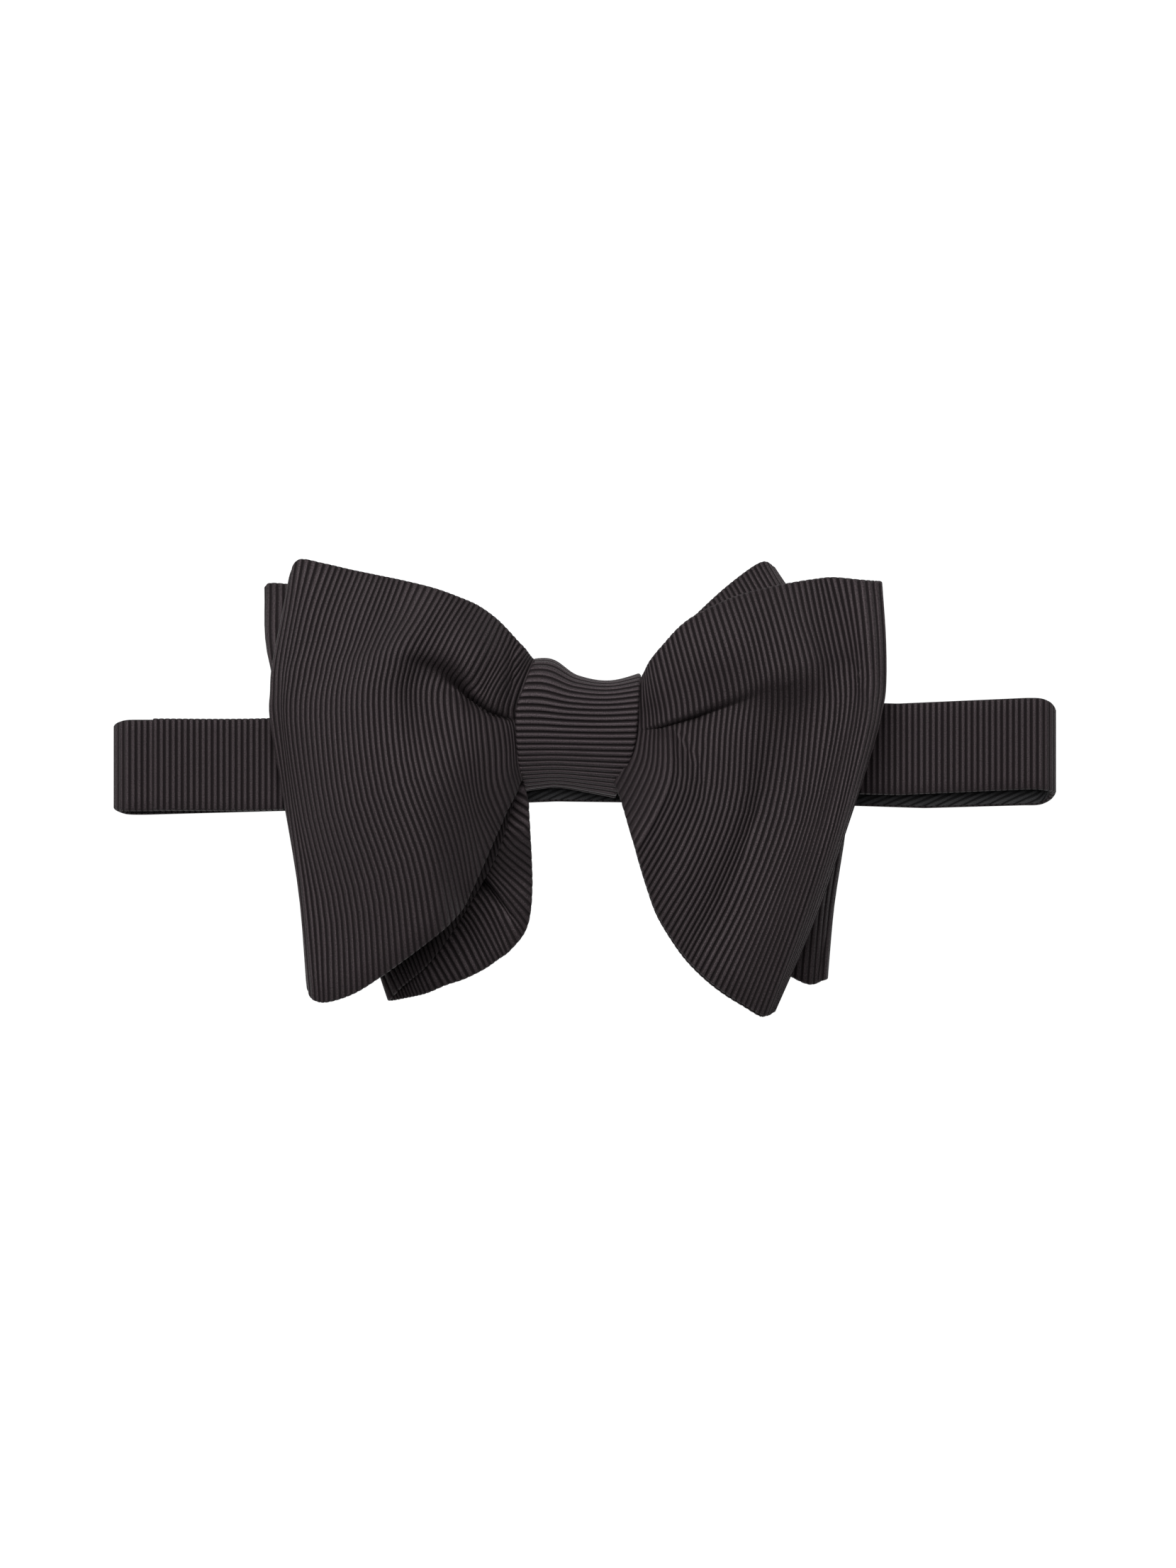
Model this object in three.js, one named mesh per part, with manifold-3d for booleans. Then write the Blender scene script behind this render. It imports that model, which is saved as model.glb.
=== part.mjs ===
import * as THREE from 'three';
import { mergeVertices } from 'three/addons/utils/BufferGeometryUtils.js';
import Module from 'manifold-3d';

const wasm = await Module();
wasm.setup();

// A pre-tied bow tie of ribbed silk lying on its back: +X to its right, +Y up, +Z out of the front.
// The origin is the middle of its outline on the surface that it lies on. All sizes are millimetres.
const CLOTH = 1.2; // wall of the bows and of the knot, a doubled silk
const BAND_CLOTH = 1.4; // wall of the neck band
const GAP = 0.3; // air between two layers that touch
const NECK_HOLLOW = 5.4; // height of the flattened neck loop behind the knot
const LOOP_LENGTH = 199.2; // the flattened neck loop, end to end
const LOOP_END_TOP = 8.9; // height of the neck loop at its two ends
const BAND_WIDTH = 19.3;
const KNOT_STAND = 2.3; // how far the knot's outer face stands off the bow that it wraps
const KNOT_EDGE_RISE = 0.9; // how much the knot's two edges stand out past its middle

// Heights of the middle of each wall where all of them pass through the knot
const REAR_LAYER_Z = BAND_CLOTH / 2;
const KNOT_BACK_Z = BAND_CLOTH + NECK_HOLLOW;
const FRONT_LAYER_Z = KNOT_BACK_Z + CLOTH + GAP + BAND_CLOTH / 2;
const PLY_STEP = CLOTH + GAP;
const REAR_BOW_BACK_Z = FRONT_LAYER_Z + BAND_CLOTH / 2 + GAP + CLOTH / 2;
const REAR_BOW_FRONT_Z = REAR_BOW_BACK_Z + PLY_STEP;
const FRONT_BOW_BACK_Z = REAR_BOW_FRONT_Z + PLY_STEP;
const FRONT_BOW_FRONT_Z = FRONT_BOW_BACK_Z + PLY_STEP;
const KNOT_FRONT_Z = FRONT_BOW_FRONT_Z + CLOTH / 2 + KNOT_STAND;

const RIBBED_SILK = new THREE.MeshStandardMaterial({ color: 0x2f2a2b, roughness: 0.62, metalness: 0 });
const BAND_SILK = new THREE.MeshStandardMaterial({ color: 0x2b2728, roughness: 0.66, metalness: 0 });
const KNOT_SILK = new THREE.MeshStandardMaterial({ color: 0x332e2f, roughness: 0.6, metalness: 0 });
const CLASP_METAL = new THREE.MeshStandardMaterial({ color: 0x2a2a2c, roughness: 0.35, metalness: 0.9 });

const clamp = (value, low, high) => Math.min(high, Math.max(low, value));
const mix = (a, b, t) => a + (b - a) * t;

function smoothStep(t) {
  const s = clamp(t, 0, 1);
  return s * s * (3 - 2 * s);
}

// A smooth curve through evenly numbered values, carried on straight past both ends
function through(values, at) {
  const last = values.length - 1;
  const i = clamp(Math.floor(at), 0, last - 1);
  const t = at - i;
  const b = values[i];
  const c = values[i + 1];
  if (t < 0) return b + (c - b) * t;
  if (t > 1) return c + (c - b) * (t - 1);
  const a = i > 0 ? values[i - 1] : 2 * b - c;
  const d = i + 2 <= last ? values[i + 2] : 2 * c - b;
  const square = 2 * a - 5 * b + 4 * c - d;
  const cube = 3 * b - a - 3 * c + d;
  return 0.5 * (2 * b + (c - a) * t + square * t * t + cube * t * t * t);
}

// A smooth curve through rows of [position, value]
function along(rows, position) {
  const last = rows.length - 1;
  let i = 0;
  while (i < last - 1 && position > rows[i + 1][0]) i += 1;
  const t = clamp((position - rows[i][0]) / (rows[i + 1][0] - rows[i][0]), 0, 1);
  return through(rows.map((row) => row[1]), i + t);
}

// A point of a wing table: row counts from the middle of the knot to the fold, column from top edge to hem
function tablePoint(rows, row, column) {
  const pick = (key) => through(rows.map((entry) => through(entry[key], column)), row);
  return new THREE.Vector3(pick('x'), pick('y'), pick('z'));
}

// A closed wall of cloth about a grid of middle points, grid[around][across].
// A ring closes on its own first row, and a strip is capped at both ends.
function clothWall(grid, thickness, isRing) {
  const rows = grid.length;
  const columns = grid[0].length;
  const rowAt = (i) => (isRing ? (i + rows) % rows : clamp(i, 0, rows - 1));
  const positions = [];
  for (let side = 0; side < 2; side += 1) {
    for (let i = 0; i < rows; i += 1) {
      for (let j = 0; j < columns; j += 1) {
        const along1 = grid[rowAt(i + 1)][j].clone().sub(grid[rowAt(i - 1)][j]);
        const across = grid[i][Math.min(j + 1, columns - 1)].clone().sub(grid[i][Math.max(j - 1, 0)]);
        const normal = along1.cross(across).normalize();
        const shift = side === 0 ? thickness / 2 : -thickness / 2;
        positions.push(...grid[i][j].clone().addScaledVector(normal, shift).toArray());
      }
    }
  }
  const index = [];
  const id = (side, i, j) => (side * rows + rowAt(i)) * columns + j;
  const quad = (a, b, c, d) => index.push(a, b, c, a, c, d);
  const spans = isRing ? rows : rows - 1;
  for (let i = 0; i < spans; i += 1) {
    for (let j = 0; j < columns - 1; j += 1) {
      quad(id(0, i, j), id(0, i + 1, j), id(0, i + 1, j + 1), id(0, i, j + 1));
      quad(id(1, i, j), id(1, i, j + 1), id(1, i + 1, j + 1), id(1, i + 1, j));
    }
    quad(id(0, i, 0), id(1, i, 0), id(1, i + 1, 0), id(0, i + 1, 0));
    const j = columns - 1;
    quad(id(0, i, j), id(0, i + 1, j), id(1, i + 1, j), id(1, i, j));
  }
  if (!isRing) {
    for (let j = 0; j < columns - 1; j += 1) {
      quad(id(0, 0, j), id(0, 0, j + 1), id(1, 0, j + 1), id(1, 0, j));
      const i = rows - 1;
      quad(id(0, i, j), id(1, i, j), id(1, i, j + 1), id(0, i, j + 1));
    }
  }
  const geometry = new THREE.BufferGeometry();
  geometry.setAttribute('position', new THREE.Float32BufferAttribute(positions, 3));
  geometry.setIndex(index);
  return facingOut(geometry);
}

// Turns every triangle round when the closed surface encloses a negative volume
function facingOut(geometry) {
  const position = geometry.getAttribute('position');
  const index = geometry.getIndex();
  const corner = (k) => new THREE.Vector3().fromBufferAttribute(position, index.getX(k));
  let volume = 0;
  for (let k = 0; k < index.count; k += 3) {
    volume += corner(k).dot(corner(k + 1).cross(corner(k + 2)));
  }
  if (volume < 0) {
    for (let k = 0; k < index.count; k += 3) {
      const second = index.getX(k + 1);
      index.setX(k + 1, index.getX(k + 2));
      index.setX(k + 2, second);
    }
  }
  geometry.computeVertexNormals();
  return geometry;
}

// Neck band, front layer: x, middle of its width y, width, height z of the middle of its wall
const LOOP_END_Z = LOOP_END_TOP - BAND_CLOTH / 2;
const FRONT_LAYER = [
  { x: -93.0, y: 4.9, width: BAND_WIDTH, z: LOOP_END_Z },
  { x: -66.0, y: 5.0, width: BAND_WIDTH, z: LOOP_END_Z + 0.1 },
  { x: -42.0, y: 6.8, width: BAND_WIDTH, z: FRONT_LAYER_Z - 0.4 },
  { x: -16.5, y: 9.9, width: 17.6, z: FRONT_LAYER_Z },
  { x: -9.0, y: 10.4, width: 16.6, z: FRONT_LAYER_Z },
  { x: 9.0, y: 10.4, width: 16.6, z: FRONT_LAYER_Z },
  { x: 16.5, y: 10.0, width: 17.6, z: FRONT_LAYER_Z },
  { x: 42.0, y: 8.9, width: BAND_WIDTH, z: FRONT_LAYER_Z - 0.4 },
  { x: 66.0, y: 8.3, width: BAND_WIDTH, z: LOOP_END_Z + 0.1 },
  { x: 93.0, y: 9.5, width: BAND_WIDTH, z: LOOP_END_Z },
];
// Neck band, rear layer, flat on the surface: x, middle of its width y
const REAR_LAYER_RIGHT = [
  { x: 93.0, y: 6.1 },
  { x: 72.0, y: 5.5 },
  { x: 50.0, y: 6.2 },
];
const REAR_LAYER_LEFT = [
  { x: 18.0, y: 6.6 },
  { x: -6.0, y: 6.9 },
  { x: -46.0, y: 5.4 },
  { x: -93.0, y: 4.1 },
];

// The hidden clasp is a flat plate with two slots; each end of the band is turned round a bar of it
const CLASP = { x: 33.0, y: 6.6, length: 13.4, bar: 1.6, slot: 3.6, thickness: 1.0, rail: 1.6 };
const HAIRPIN_RADIUS = CLASP.thickness / 2 + GAP + BAND_CLOTH / 2;
const HAIRPIN_RETURN = 8; // length of the loose leg that comes back over the clasp
const HAIRPIN_SLACK = 0.3; // the bend stands this far off the bar's edge
const CLASP_Z = BAND_CLOTH + GAP + CLASP.thickness / 2;

// Points of a half turn in the XZ plane from the lower side up, opening towards -X or +X
function halfTurn(centreX, centreZ, radius, direction, steps) {
  return Array.from({ length: steps + 1 }, (_, k) => {
    const angle = -Math.PI / 2 + (Math.PI * k) / steps;
    return { x: centreX + direction * radius * Math.cos(angle), z: centreZ + radius * Math.sin(angle) };
  });
}

// One end of the band turned back round a clasp bar, listed from the rear layer to the loose tip
function hairpin(direction) {
  const barX = CLASP.x - direction * (CLASP.length / 2 - CLASP.bar / 2);
  const turn = halfTurn(barX + direction * HAIRPIN_SLACK, CLASP_Z, HAIRPIN_RADIUS, direction, 6);
  const tip = { x: barX - direction * HAIRPIN_RETURN, z: CLASP_Z + HAIRPIN_RADIUS };
  return [...turn, tip].map((p) => ({ ...p, y: CLASP.y, width: BAND_WIDTH }));
}

const END_STEPS = 10;
const END_NARROWING = 1.4; // the band's edges draw in where the loop turns round

function neckBand() {
  const endRadius = (LOOP_END_Z - REAR_LAYER_Z) / 2;
  const endX = LOOP_LENGTH / 2 - BAND_CLOTH / 2 - endRadius;
  const endZ = REAR_LAYER_Z + endRadius;
  const flat = (p) => ({ ...p, width: BAND_WIDTH, z: REAR_LAYER_Z });
  const turned = (direction, lowerY, upperY) => {
    const turn = halfTurn(direction * endX, endZ, endRadius, direction, END_STEPS);
    return turn.map((p, k) => ({
      ...p,
      width: BAND_WIDTH - END_NARROWING * Math.sin((Math.PI * k) / END_STEPS) ** 4,
      y: mix(lowerY, upperY, smoothStep(k / END_STEPS)),
    }));
  };
  const leftTurn = turned(-1, 4.1, 4.9);
  const rightTurn = turned(1, 6.1, 9.5).reverse();
  const path = [
    ...hairpin(1).reverse(),
    ...REAR_LAYER_LEFT.map(flat),
    ...leftTurn,
    ...FRONT_LAYER,
    ...rightTurn,
    ...REAR_LAYER_RIGHT.map(flat),
    ...hairpin(-1),
  ];
  const grid = path.map((p) => [1, -1].map((s) => new THREE.Vector3(p.x, p.y + (s * p.width) / 2, p.z)));
  return clothWall(grid, BAND_CLOTH, false);
}

// The doubled layer that shows on the left, lying on the front layer and ending near the loop's end
const TAIL = { from: -91.0, to: -57.0, width: 19.4, thickness: 1.0, rise: 0.2 };

function bandFrontHeight(x) {
  return along(FRONT_LAYER.map((p) => [p.x, p.z]), x) + BAND_CLOTH / 2;
}

function bandFrontMiddle(x) {
  return along(FRONT_LAYER.map((p) => [p.x, p.y]), x);
}

function bandTail() {
  const steps = 6;
  const grid = Array.from({ length: steps + 1 }, (_, i) => {
    const x = mix(TAIL.from, TAIL.to, i / steps);
    const y = bandFrontMiddle(x) + TAIL.rise;
    const z = bandFrontHeight(x) + GAP + TAIL.thickness / 2;
    return [1, -1].map((s) => new THREE.Vector3(x, y + (s * TAIL.width) / 2, z));
  });
  return clothWall(grid, TAIL.thickness, false);
}

// A box about a place on the X axis, as a solid that can be cut
function boxSolid(lengthX, lengthY, lengthZ, x) {
  const box = new THREE.BoxGeometry(lengthX, lengthY, lengthZ).translate(x, 0, 0);
  box.deleteAttribute('normal');
  box.deleteAttribute('uv');
  const merged = mergeVertices(box);
  return new wasm.Manifold(new wasm.Mesh({
    numProp: 3,
    vertProperties: new Float32Array(merged.getAttribute('position').array),
    triVerts: new Uint32Array(merged.getIndex().array),
  }));
}

function claspPlate() {
  const slotWidth = BAND_WIDTH + 2 * GAP;
  const slotX = CLASP.length / 2 - CLASP.bar - CLASP.slot / 2;
  const deep = 3 * CLASP.thickness;
  const plate = boxSolid(CLASP.length, slotWidth + 2 * CLASP.rail, CLASP.thickness, 0)
    .subtract(boxSolid(CLASP.slot, slotWidth, deep, slotX))
    .subtract(boxSolid(CLASP.slot, slotWidth, deep, -slotX));
  const mesh = plate.getMesh();
  const geometry = new THREE.BufferGeometry();
  geometry.setAttribute('position', new THREE.BufferAttribute(mesh.vertProperties, mesh.numProp));
  geometry.setIndex(new THREE.BufferAttribute(mesh.triVerts, 1));
  geometry.computeVertexNormals();
  return geometry;
}

// Height of what the rear bow lies on: the band's front layer with its tail, and the surface beside it
const BAND_SHOULDER = 2.6; // how far past the band's edge the cloth keeps its height
const TABLE_DRAPE = 18; // and how much farther it takes to come down to the surface

function underRearBow(x, y) {
  const onTail = (TAIL.thickness + GAP) * smoothStep((TAIL.to + 6 - x) / 6);
  const bandTop = bandFrontHeight(x) + GAP + onTail;
  const beside = Math.abs(y - bandFrontMiddle(x)) - BAND_WIDTH / 2 - BAND_SHOULDER;
  return bandTop * (1 - smoothStep(beside / TABLE_DRAPE));
}

// Middle of the air between the rear bow and the front bow
const BETWEEN_AT_KNOT = (REAR_BOW_FRONT_Z + FRONT_BOW_BACK_Z) / 2;
const BETWEEN = { rise: 3.6, riseFrom: 13, riseTo: 36, droop: 5.5, droopFrom: 15, droopTo: 42, middleY: 8 };

function betweenBows(x, y) {
  const out = (Math.abs(x) - BETWEEN.riseFrom) / (BETWEEN.riseTo - BETWEEN.riseFrom);
  const away = (Math.abs(y - BETWEEN.middleY) - BETWEEN.droopFrom) / (BETWEEN.droopTo - BETWEEN.droopFrom);
  return BETWEEN_AT_KNOT + BETWEEN.rise * smoothStep(out) - BETWEEN.droop * smoothStep(away);
}

// Half the room between the two bows, wider where they leave the knot and slope
const ROOM = { inKnot: PLY_STEP / 2, onWing: 1.0, widensFrom: 11, widensOver: 8 };

function halfRoom(x) {
  return mix(ROOM.inKnot, ROOM.onWing, smoothStep((Math.abs(x) - ROOM.widensFrom) / ROOM.widensOver));
}

// Wing tables. A row follows one rib of the cloth, from the middle of the knot out to the fold.
// Columns run from the top edge through the upper lobe, crease, belly and low part to the hem.
// z is the height of the near ply of the front bow, and its depth under the front bow for the rear bow.
const Z = FRONT_BOW_FRONT_Z;
const FRONT_MIDDLE = { x: [0, 0, 0, 0, 0, 0], y: [19.8, 16.8, 13.6, 10.2, 7.0, 3.9], z: [Z, Z, Z, Z, Z, Z] };
const FRONT_LEFT = [
  FRONT_MIDDLE,
  { x: [-9.2, -10.8, -12.0, -12.2, -12.0, -11.6], y: [21.8, 19.0, 15.2, 10.8, 6.8, 3.6],
    z: [Z, Z, Z, Z, Z, Z] },
  { x: [-13.0, -15.2, -16.1, -15.7, -15.4, -14.8], y: [28.9, 24.0, 15.9, 9.3, 3.4, -1.0],
    z: [15.2, 16.2, 15.2, 16.2, 16.0, 15.2] },
  { x: [-17.7, -23.2, -27.3, -23.3, -21.3, -20.1], y: [34.5, 27.3, 21.0, 10.8, -1.9, -12.9],
    z: [17.0, 22.8, 17.4, 21.0, 20.0, 17.0] },
  { x: [-22.5, -29.5, -34.8, -32.4, -28.0, -26.0], y: [38.1, 29.2, 21.8, 9.3, -4.8, -25.6],
    z: [18.5, 24.8, 21.2, 24.0, 23.4, 18.6] },
  { x: [-28.9, -36.2, -40.1, -37.9, -33.2, -32.5], y: [40.9, 29.6, 18.8, 5.5, -10.7, -31.8],
    z: [19.6, 25.6, 24.4, 26.2, 25.2, 19.4] },
  { x: [-35.1, -42.1, -45.9, -45.6, -41.3, -39.3], y: [42.7, 30.1, 18.1, 4.8, -14.3, -37.1],
    z: [19.8, 25.0, 26.0, 26.8, 25.4, 19.4] },
  { x: [-45.0, -49.8, -52.9, -52.1, -49.2, -46.7], y: [44.9, 30.8, 17.3, 3.7, -15.8, -41.9],
    z: [19.2, 23.4, 25.2, 25.8, 24.0, 18.6] },
  { x: [-53.0, -56.4, -58.2, -57.8, -54.7, -52.5], y: [46.6, 34.9, 21.1, 6.3, -17.3, -44.0],
    z: [17.4, 20.6, 22.6, 23.2, 21.2, 16.8] },
  { x: [-58.6, -61.7, -63.5, -62.5, -58.7, -55.8], y: [47.5, 35.7, 20.9, 5.5, -18.2, -44.3],
    z: [15.2, 17.6, 19.2, 19.6, 18.0, 15.0] },
  { x: [-61.3, -63.6, -65.1, -64.2, -59.5, -57.7], y: [43.3, 33.9, 20.4, 4.9, -18.6, -41.1],
    z: [12.4, 14.0, 15.2, 15.4, 14.4, 12.4] },
];
const FRONT_RIGHT = [
  FRONT_MIDDLE,
  { x: [9.9, 9.5, 9.2, 8.6, 7.2, 5.8], y: [19.4, 17.0, 13.6, 9.6, 6.0, 2.8], z: [Z, Z, Z, Z, Z, Z] },
  { x: [13.3, 12.8, 12.7, 12.9, 11.1, 8.2], y: [24.5, 18.9, 12.3, 7.5, 1.9, -3.7],
    z: [15.2, 16.2, 15.2, 16.2, 16.0, 15.2] },
  { x: [18.0, 21.2, 23.7, 24.8, 20.0, 13.0], y: [31.9, 23.3, 16.1, 7.0, -7.0, -19.8],
    z: [17.4, 22.8, 17.8, 21.0, 20.4, 16.6] },
  { x: [23.7, 27.4, 29.6, 30.5, 25.9, 16.0], y: [36.3, 26.3, 17.1, 5.5, -12.9, -27.7],
    z: [18.8, 24.6, 20.4, 22.4, 23.0, 17.0] },
  { x: [31.9, 35.4, 37.7, 37.5, 32.5, 21.3], y: [40.1, 28.4, 18.1, 4.8, -17.3, -35.6],
    z: [19.8, 25.4, 23.8, 23.6, 24.2, 17.2] },
  { x: [40.8, 43.6, 45.1, 44.3, 38.7, 27.5], y: [42.4, 29.9, 18.1, 3.4, -20.3, -41.5],
    z: [19.6, 24.6, 25.2, 24.8, 23.8, 16.6] },
  { x: [49.5, 52.1, 52.8, 50.8, 45.0, 32.5], y: [43.6, 30.0, 16.7, 1.9, -22.6, -44.8],
    z: [18.2, 22.2, 23.6, 23.4, 21.4, 15.4] },
  { x: [57.6, 59.2, 59.0, 55.3, 48.1, 36.6], y: [43.5, 29.4, 15.9, 0.4, -24.1, -47.0],
    z: [15.8, 18.6, 20.0, 20.0, 18.2, 13.8] },
  { x: [61.6, 62.5, 61.9, 56.7, 49.6, 39.5], y: [42.3, 28.6, 16.2, -1.1, -23.1, -47.0],
    z: [13.2, 14.6, 15.4, 15.4, 14.2, 12.0] },
];
const REAR_MIDDLE = { x: [0, 0, 0, 0, 0, 0], y: [19.8, 16.8, 13.6, 10.2, 7.0, 3.9], z: [0, 0, 0, 0, 0, 0] };
const REAR_LEFT = [
  REAR_MIDDLE,
  { x: [-9.2, -10.8, -12.0, -12.2, -12.0, -11.6], y: [21.8, 19.0, 15.2, 10.8, 6.8, 3.6],
    z: [0, 0, 0, 0, 0, 0] },
  { x: [-13.0, -14.8, -16.0, -15.9, -15.3, -14.5], y: [27.2, 22.7, 15.9, 9.3, 3.4, -1.4],
    z: [0, 0, 0, 0, 0, 0] },
  { x: [-24.6, -25.8, -26.1, -23.8, -20.8, -18.6], y: [35.8, 27.2, 16.8, 6.4, -4.1, -13.8],
    z: [1, 0, 0, 0, 0, 1] },
  { x: [-39.5, -39.5, -37.2, -33.5, -29.1, -25.8], y: [39.9, 27.2, 13.8, -1.1, -14.5, -26.5],
    z: [3, 1, 0, 0, 1, 3] },
  { x: [-53.0, -52.2, -48.4, -43.1, -37.2, -32.7], y: [41.8, 27.2, 10.8, -5.5, -21.9, -36.5],
    z: [4, 1, 0, 0, 2, 4] },
  { x: [-64.7, -64.5, -59.6, -53.2, -45.5, -38.7], y: [43.1, 27.2, 10.8, -7.0, -26.5, -41.9],
    z: [6, 3, 1, 1, 4, 6] },
  { x: [-66.8, -66.2, -61.1, -54.5, -46.8, -40.6], y: [41.6, 28.7, 12.3, -6.3, -28.1, -44.4],
    z: [7, 5, 3, 3, 6, 8] },
];
const REAR_RIGHT = [
  REAR_MIDDLE,
  { x: [9.6, 9.4, 9.2, 8.6, 7.2, 5.8], y: [19.8, 17.0, 13.6, 9.6, 6.0, 2.8], z: [0, 0, 0, 0, 0, 0] },
  { x: [13.1, 12.8, 12.7, 12.5, 11.3, 9.3], y: [24.5, 18.9, 13.0, 7.5, 2.2, -3.1], z: [0, 0, 0, 0, 0, 0] },
  { x: [17.9, 20.4, 21.9, 22.3, 20.8, 17.9], y: [31.0, 22.7, 13.8, 4.1, -4.8, -13.0],
    z: [1, 0, 0, 0, 0, 1] },
  { x: [23.8, 28.3, 31.2, 32.0, 30.6, 27.6], y: [36.8, 27.2, 15.3, 1.9, -11.5, -25.0],
    z: [3, 1, 0, 0, 1, 3] },
  { x: [30.6, 36.5, 40.9, 41.6, 39.5, 36.6], y: [43.0, 31.6, 16.8, -1.1, -18.9, -34.7],
    z: [4, 1, 0, 0, 2, 4] },
  { x: [36.0, 44.0, 49.9, 50.7, 47.7, 46.3], y: [47.1, 34.0, 16.8, -2.6, -23.6, -41.0],
    z: [5, 3, 1, 1, 4, 6] },
  { x: [39.5, 48.0, 53.9, 54.5, 52.1, 51.0], y: [46.7, 33.2, 15.3, -2.6, -24.4, -40.3],
    z: [6, 5, 3, 3, 6, 7] },
];
// The far ply of the rear left loop reaches past its near ply. z is its lift off what it lies on.
const REAR_LEFT_FAR = [
  REAR_MIDDLE,
  { x: [-9.2, -10.8, -12.0, -12.2, -12.3, -12.2], y: [21.8, 19.0, 15.2, 10.8, 6.8, 3.6],
    z: [0, 0, 0, 0, 0, 0] },
  { x: [-13.1, -14.6, -15.8, -15.6, -14.8, -14.0], y: [26.8, 22.1, 16.0, 9.4, 2.9, -2.0],
    z: [0, 0, 0, 0, 0, 0] },
  { x: [-16.4, -18.8, -20.2, -18.8, -15.6, -11.9], y: [30.1, 22.6, 12.6, 4.0, -3.4, -8.8],
    z: [0, 0, 0, 0, 1, 0] },
  { x: [-20.3, -24.8, -26.2, -23.6, -18.0, -11.2], y: [33.3, 22.9, 9.4, -2.6, -11.6, -19.3],
    z: [0, 0, 0, 0, 2, 1] },
  { x: [-27.7, -32.2, -33.7, -29.9, -23.0, -13.2], y: [36.3, 24.4, 9.4, -5.6, -16.9, -29.8],
    z: [0, 0, 0, 0, 1, 1] },
  { x: [-35.2, -39.7, -40.4, -36.7, -28.4, -18.5], y: [38.6, 25.9, 9.4, -7.1, -22.9, -36.4],
    z: [0, 0, 0, 0, 1, 1] },
  { x: [-51.7, -51.7, -48.7, -43.4, -35.2, -27.5], y: [40.8, 26.7, 10.1, -7.1, -26.6, -41.3],
    z: [0, 0, 0, 0, 1, 0] },
  { x: [-64.3, -64.3, -59.5, -52.9, -43.9, -37.4], y: [41.9, 28.1, 10.9, -7.9, -28.1, -44.6],
    z: [2, 1, 0, 0, 2, 2] },
];

// Near ply of a rear wing: as deep under the front bow as its table says
function rearNear(rows, row, column) {
  const p = tablePoint(rows, row, column);
  p.z = betweenBows(p.x, p.y) - halfRoom(p.x) - Math.max(p.z, 0);
  return p;
}

// The turn from a far ply into the fold: 0 at the start of the turn, 1 at the fold itself
const FOLD_TURN_ROWS = 1.4;

function foldTurn(rows, row) {
  const start = rows.length - 1 - FOLD_TURN_ROWS;
  const t = clamp((row - start) / FOLD_TURN_ROWS, 0, 1);
  return 1 - Math.sqrt(1 - t * t);
}

// Far ply of a front wing lies over the rear bow; reach is how far its edges pass the near ply's
const WING_WIDTH = 80; // from a wing's top edge to its hem, about
const LAST_COLUMN = 5;

function frontFar(rows, row, column, reach) {
  const near = tablePoint(rows, row, column);
  const spread = 1 + (2 * reach) / WING_WIDTH;
  const p = tablePoint(rows, row, LAST_COLUMN / 2 + (column - LAST_COLUMN / 2) * spread);
  p.z = mix(betweenBows(p.x, p.y) + halfRoom(p.x), near.z, foldTurn(rows, row));
  return p;
}

// Far ply of a rear wing lies over the band and comes down to the surface beside it
const SURFACE_AIR = 0.05;

function rearFar(nearRows, farRows, row, column) {
  const foldRow = nearRows.length - 1;
  const turn = foldTurn(nearRows, row);
  const p = farRows
    ? tablePoint(farRows, (row / foldRow) * (farRows.length - 1), column)
    : tablePoint(nearRows, row, column);
  const lift = farRows ? Math.max(p.z, 0) : 0;
  const near = rearNear(nearRows, row, column);
  const lying = underRearBow(p.x, p.y) + CLOTH / 2 + SURFACE_AIR + lift;
  return new THREE.Vector3(
    farRows ? mix(p.x, near.x, turn) : p.x,
    farRows ? mix(p.y, near.y, turn) : p.y,
    mix(lying, near.z, turn),
  );
}

// A bow is one ring of cloth: out along the right near ply, back along its far ply, and the same on the left
const ACROSS = 10;

function bowRing(right, left) {
  const columns = Array.from({ length: ACROSS + 1 }, (_, j) => (LAST_COLUMN * j) / ACROSS);
  const line = (ply, row) => columns.map((column) => ply(row, column));
  return [
    ...right.stops.map((row) => line(right.near, row)),
    ...right.farStops.map((row) => line(right.far, row)),
    ...left.farStops.toReversed().map((row) => line(left.far, row)),
    ...left.stops.toReversed().slice(0, -1).map((row) => line(left.near, row)),
  ];
}

// Row numbers to model on each ply: whole rows near the knot, half rows on the wing, closer at the fold
function stopsTo(foldRow) {
  const half = [];
  for (let row = 2.5; row < foldRow - 1; row += 0.5) half.push(row);
  const near = [0, 1, 1.5, 2, ...half, foldRow - 1, foldRow - 0.6, foldRow - 0.25, foldRow];
  const far = [foldRow - 0.05, foldRow - 0.3, foldRow - 0.8, foldRow - 1.4];
  for (let row = foldRow - 2; row > 2; row -= 0.5) far.push(row);
  return { stops: near, farStops: [...far, 2, 1.5, 1, 0] };
}

function wing(nearRows, near, far) {
  const { stops, farStops } = stopsTo(nearRows.length - 1);
  return { stops, farStops, near: (r, c) => near(nearRows, r, c), far };
}

function frontBow() {
  const left = wing(FRONT_LEFT, tablePoint, (r, c) => frontFar(FRONT_LEFT, r, c, -0.8));
  const right = wing(FRONT_RIGHT, tablePoint, (r, c) => frontFar(FRONT_RIGHT, r, c, 0.3));
  left.farStops = left.farStops.slice(0, -1);
  return clothWall(bowRing(right, left), CLOTH, true);
}

function rearBow() {
  const left = wing(REAR_LEFT, rearNear, (r, c) => rearFar(REAR_LEFT, REAR_LEFT_FAR, r, c));
  const right = wing(REAR_RIGHT, rearNear, (r, c) => rearFar(REAR_RIGHT, null, r, c));
  left.farStops = left.farStops.slice(0, -1);
  return clothWall(bowRing(right, left), CLOTH, true);
}

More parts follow.
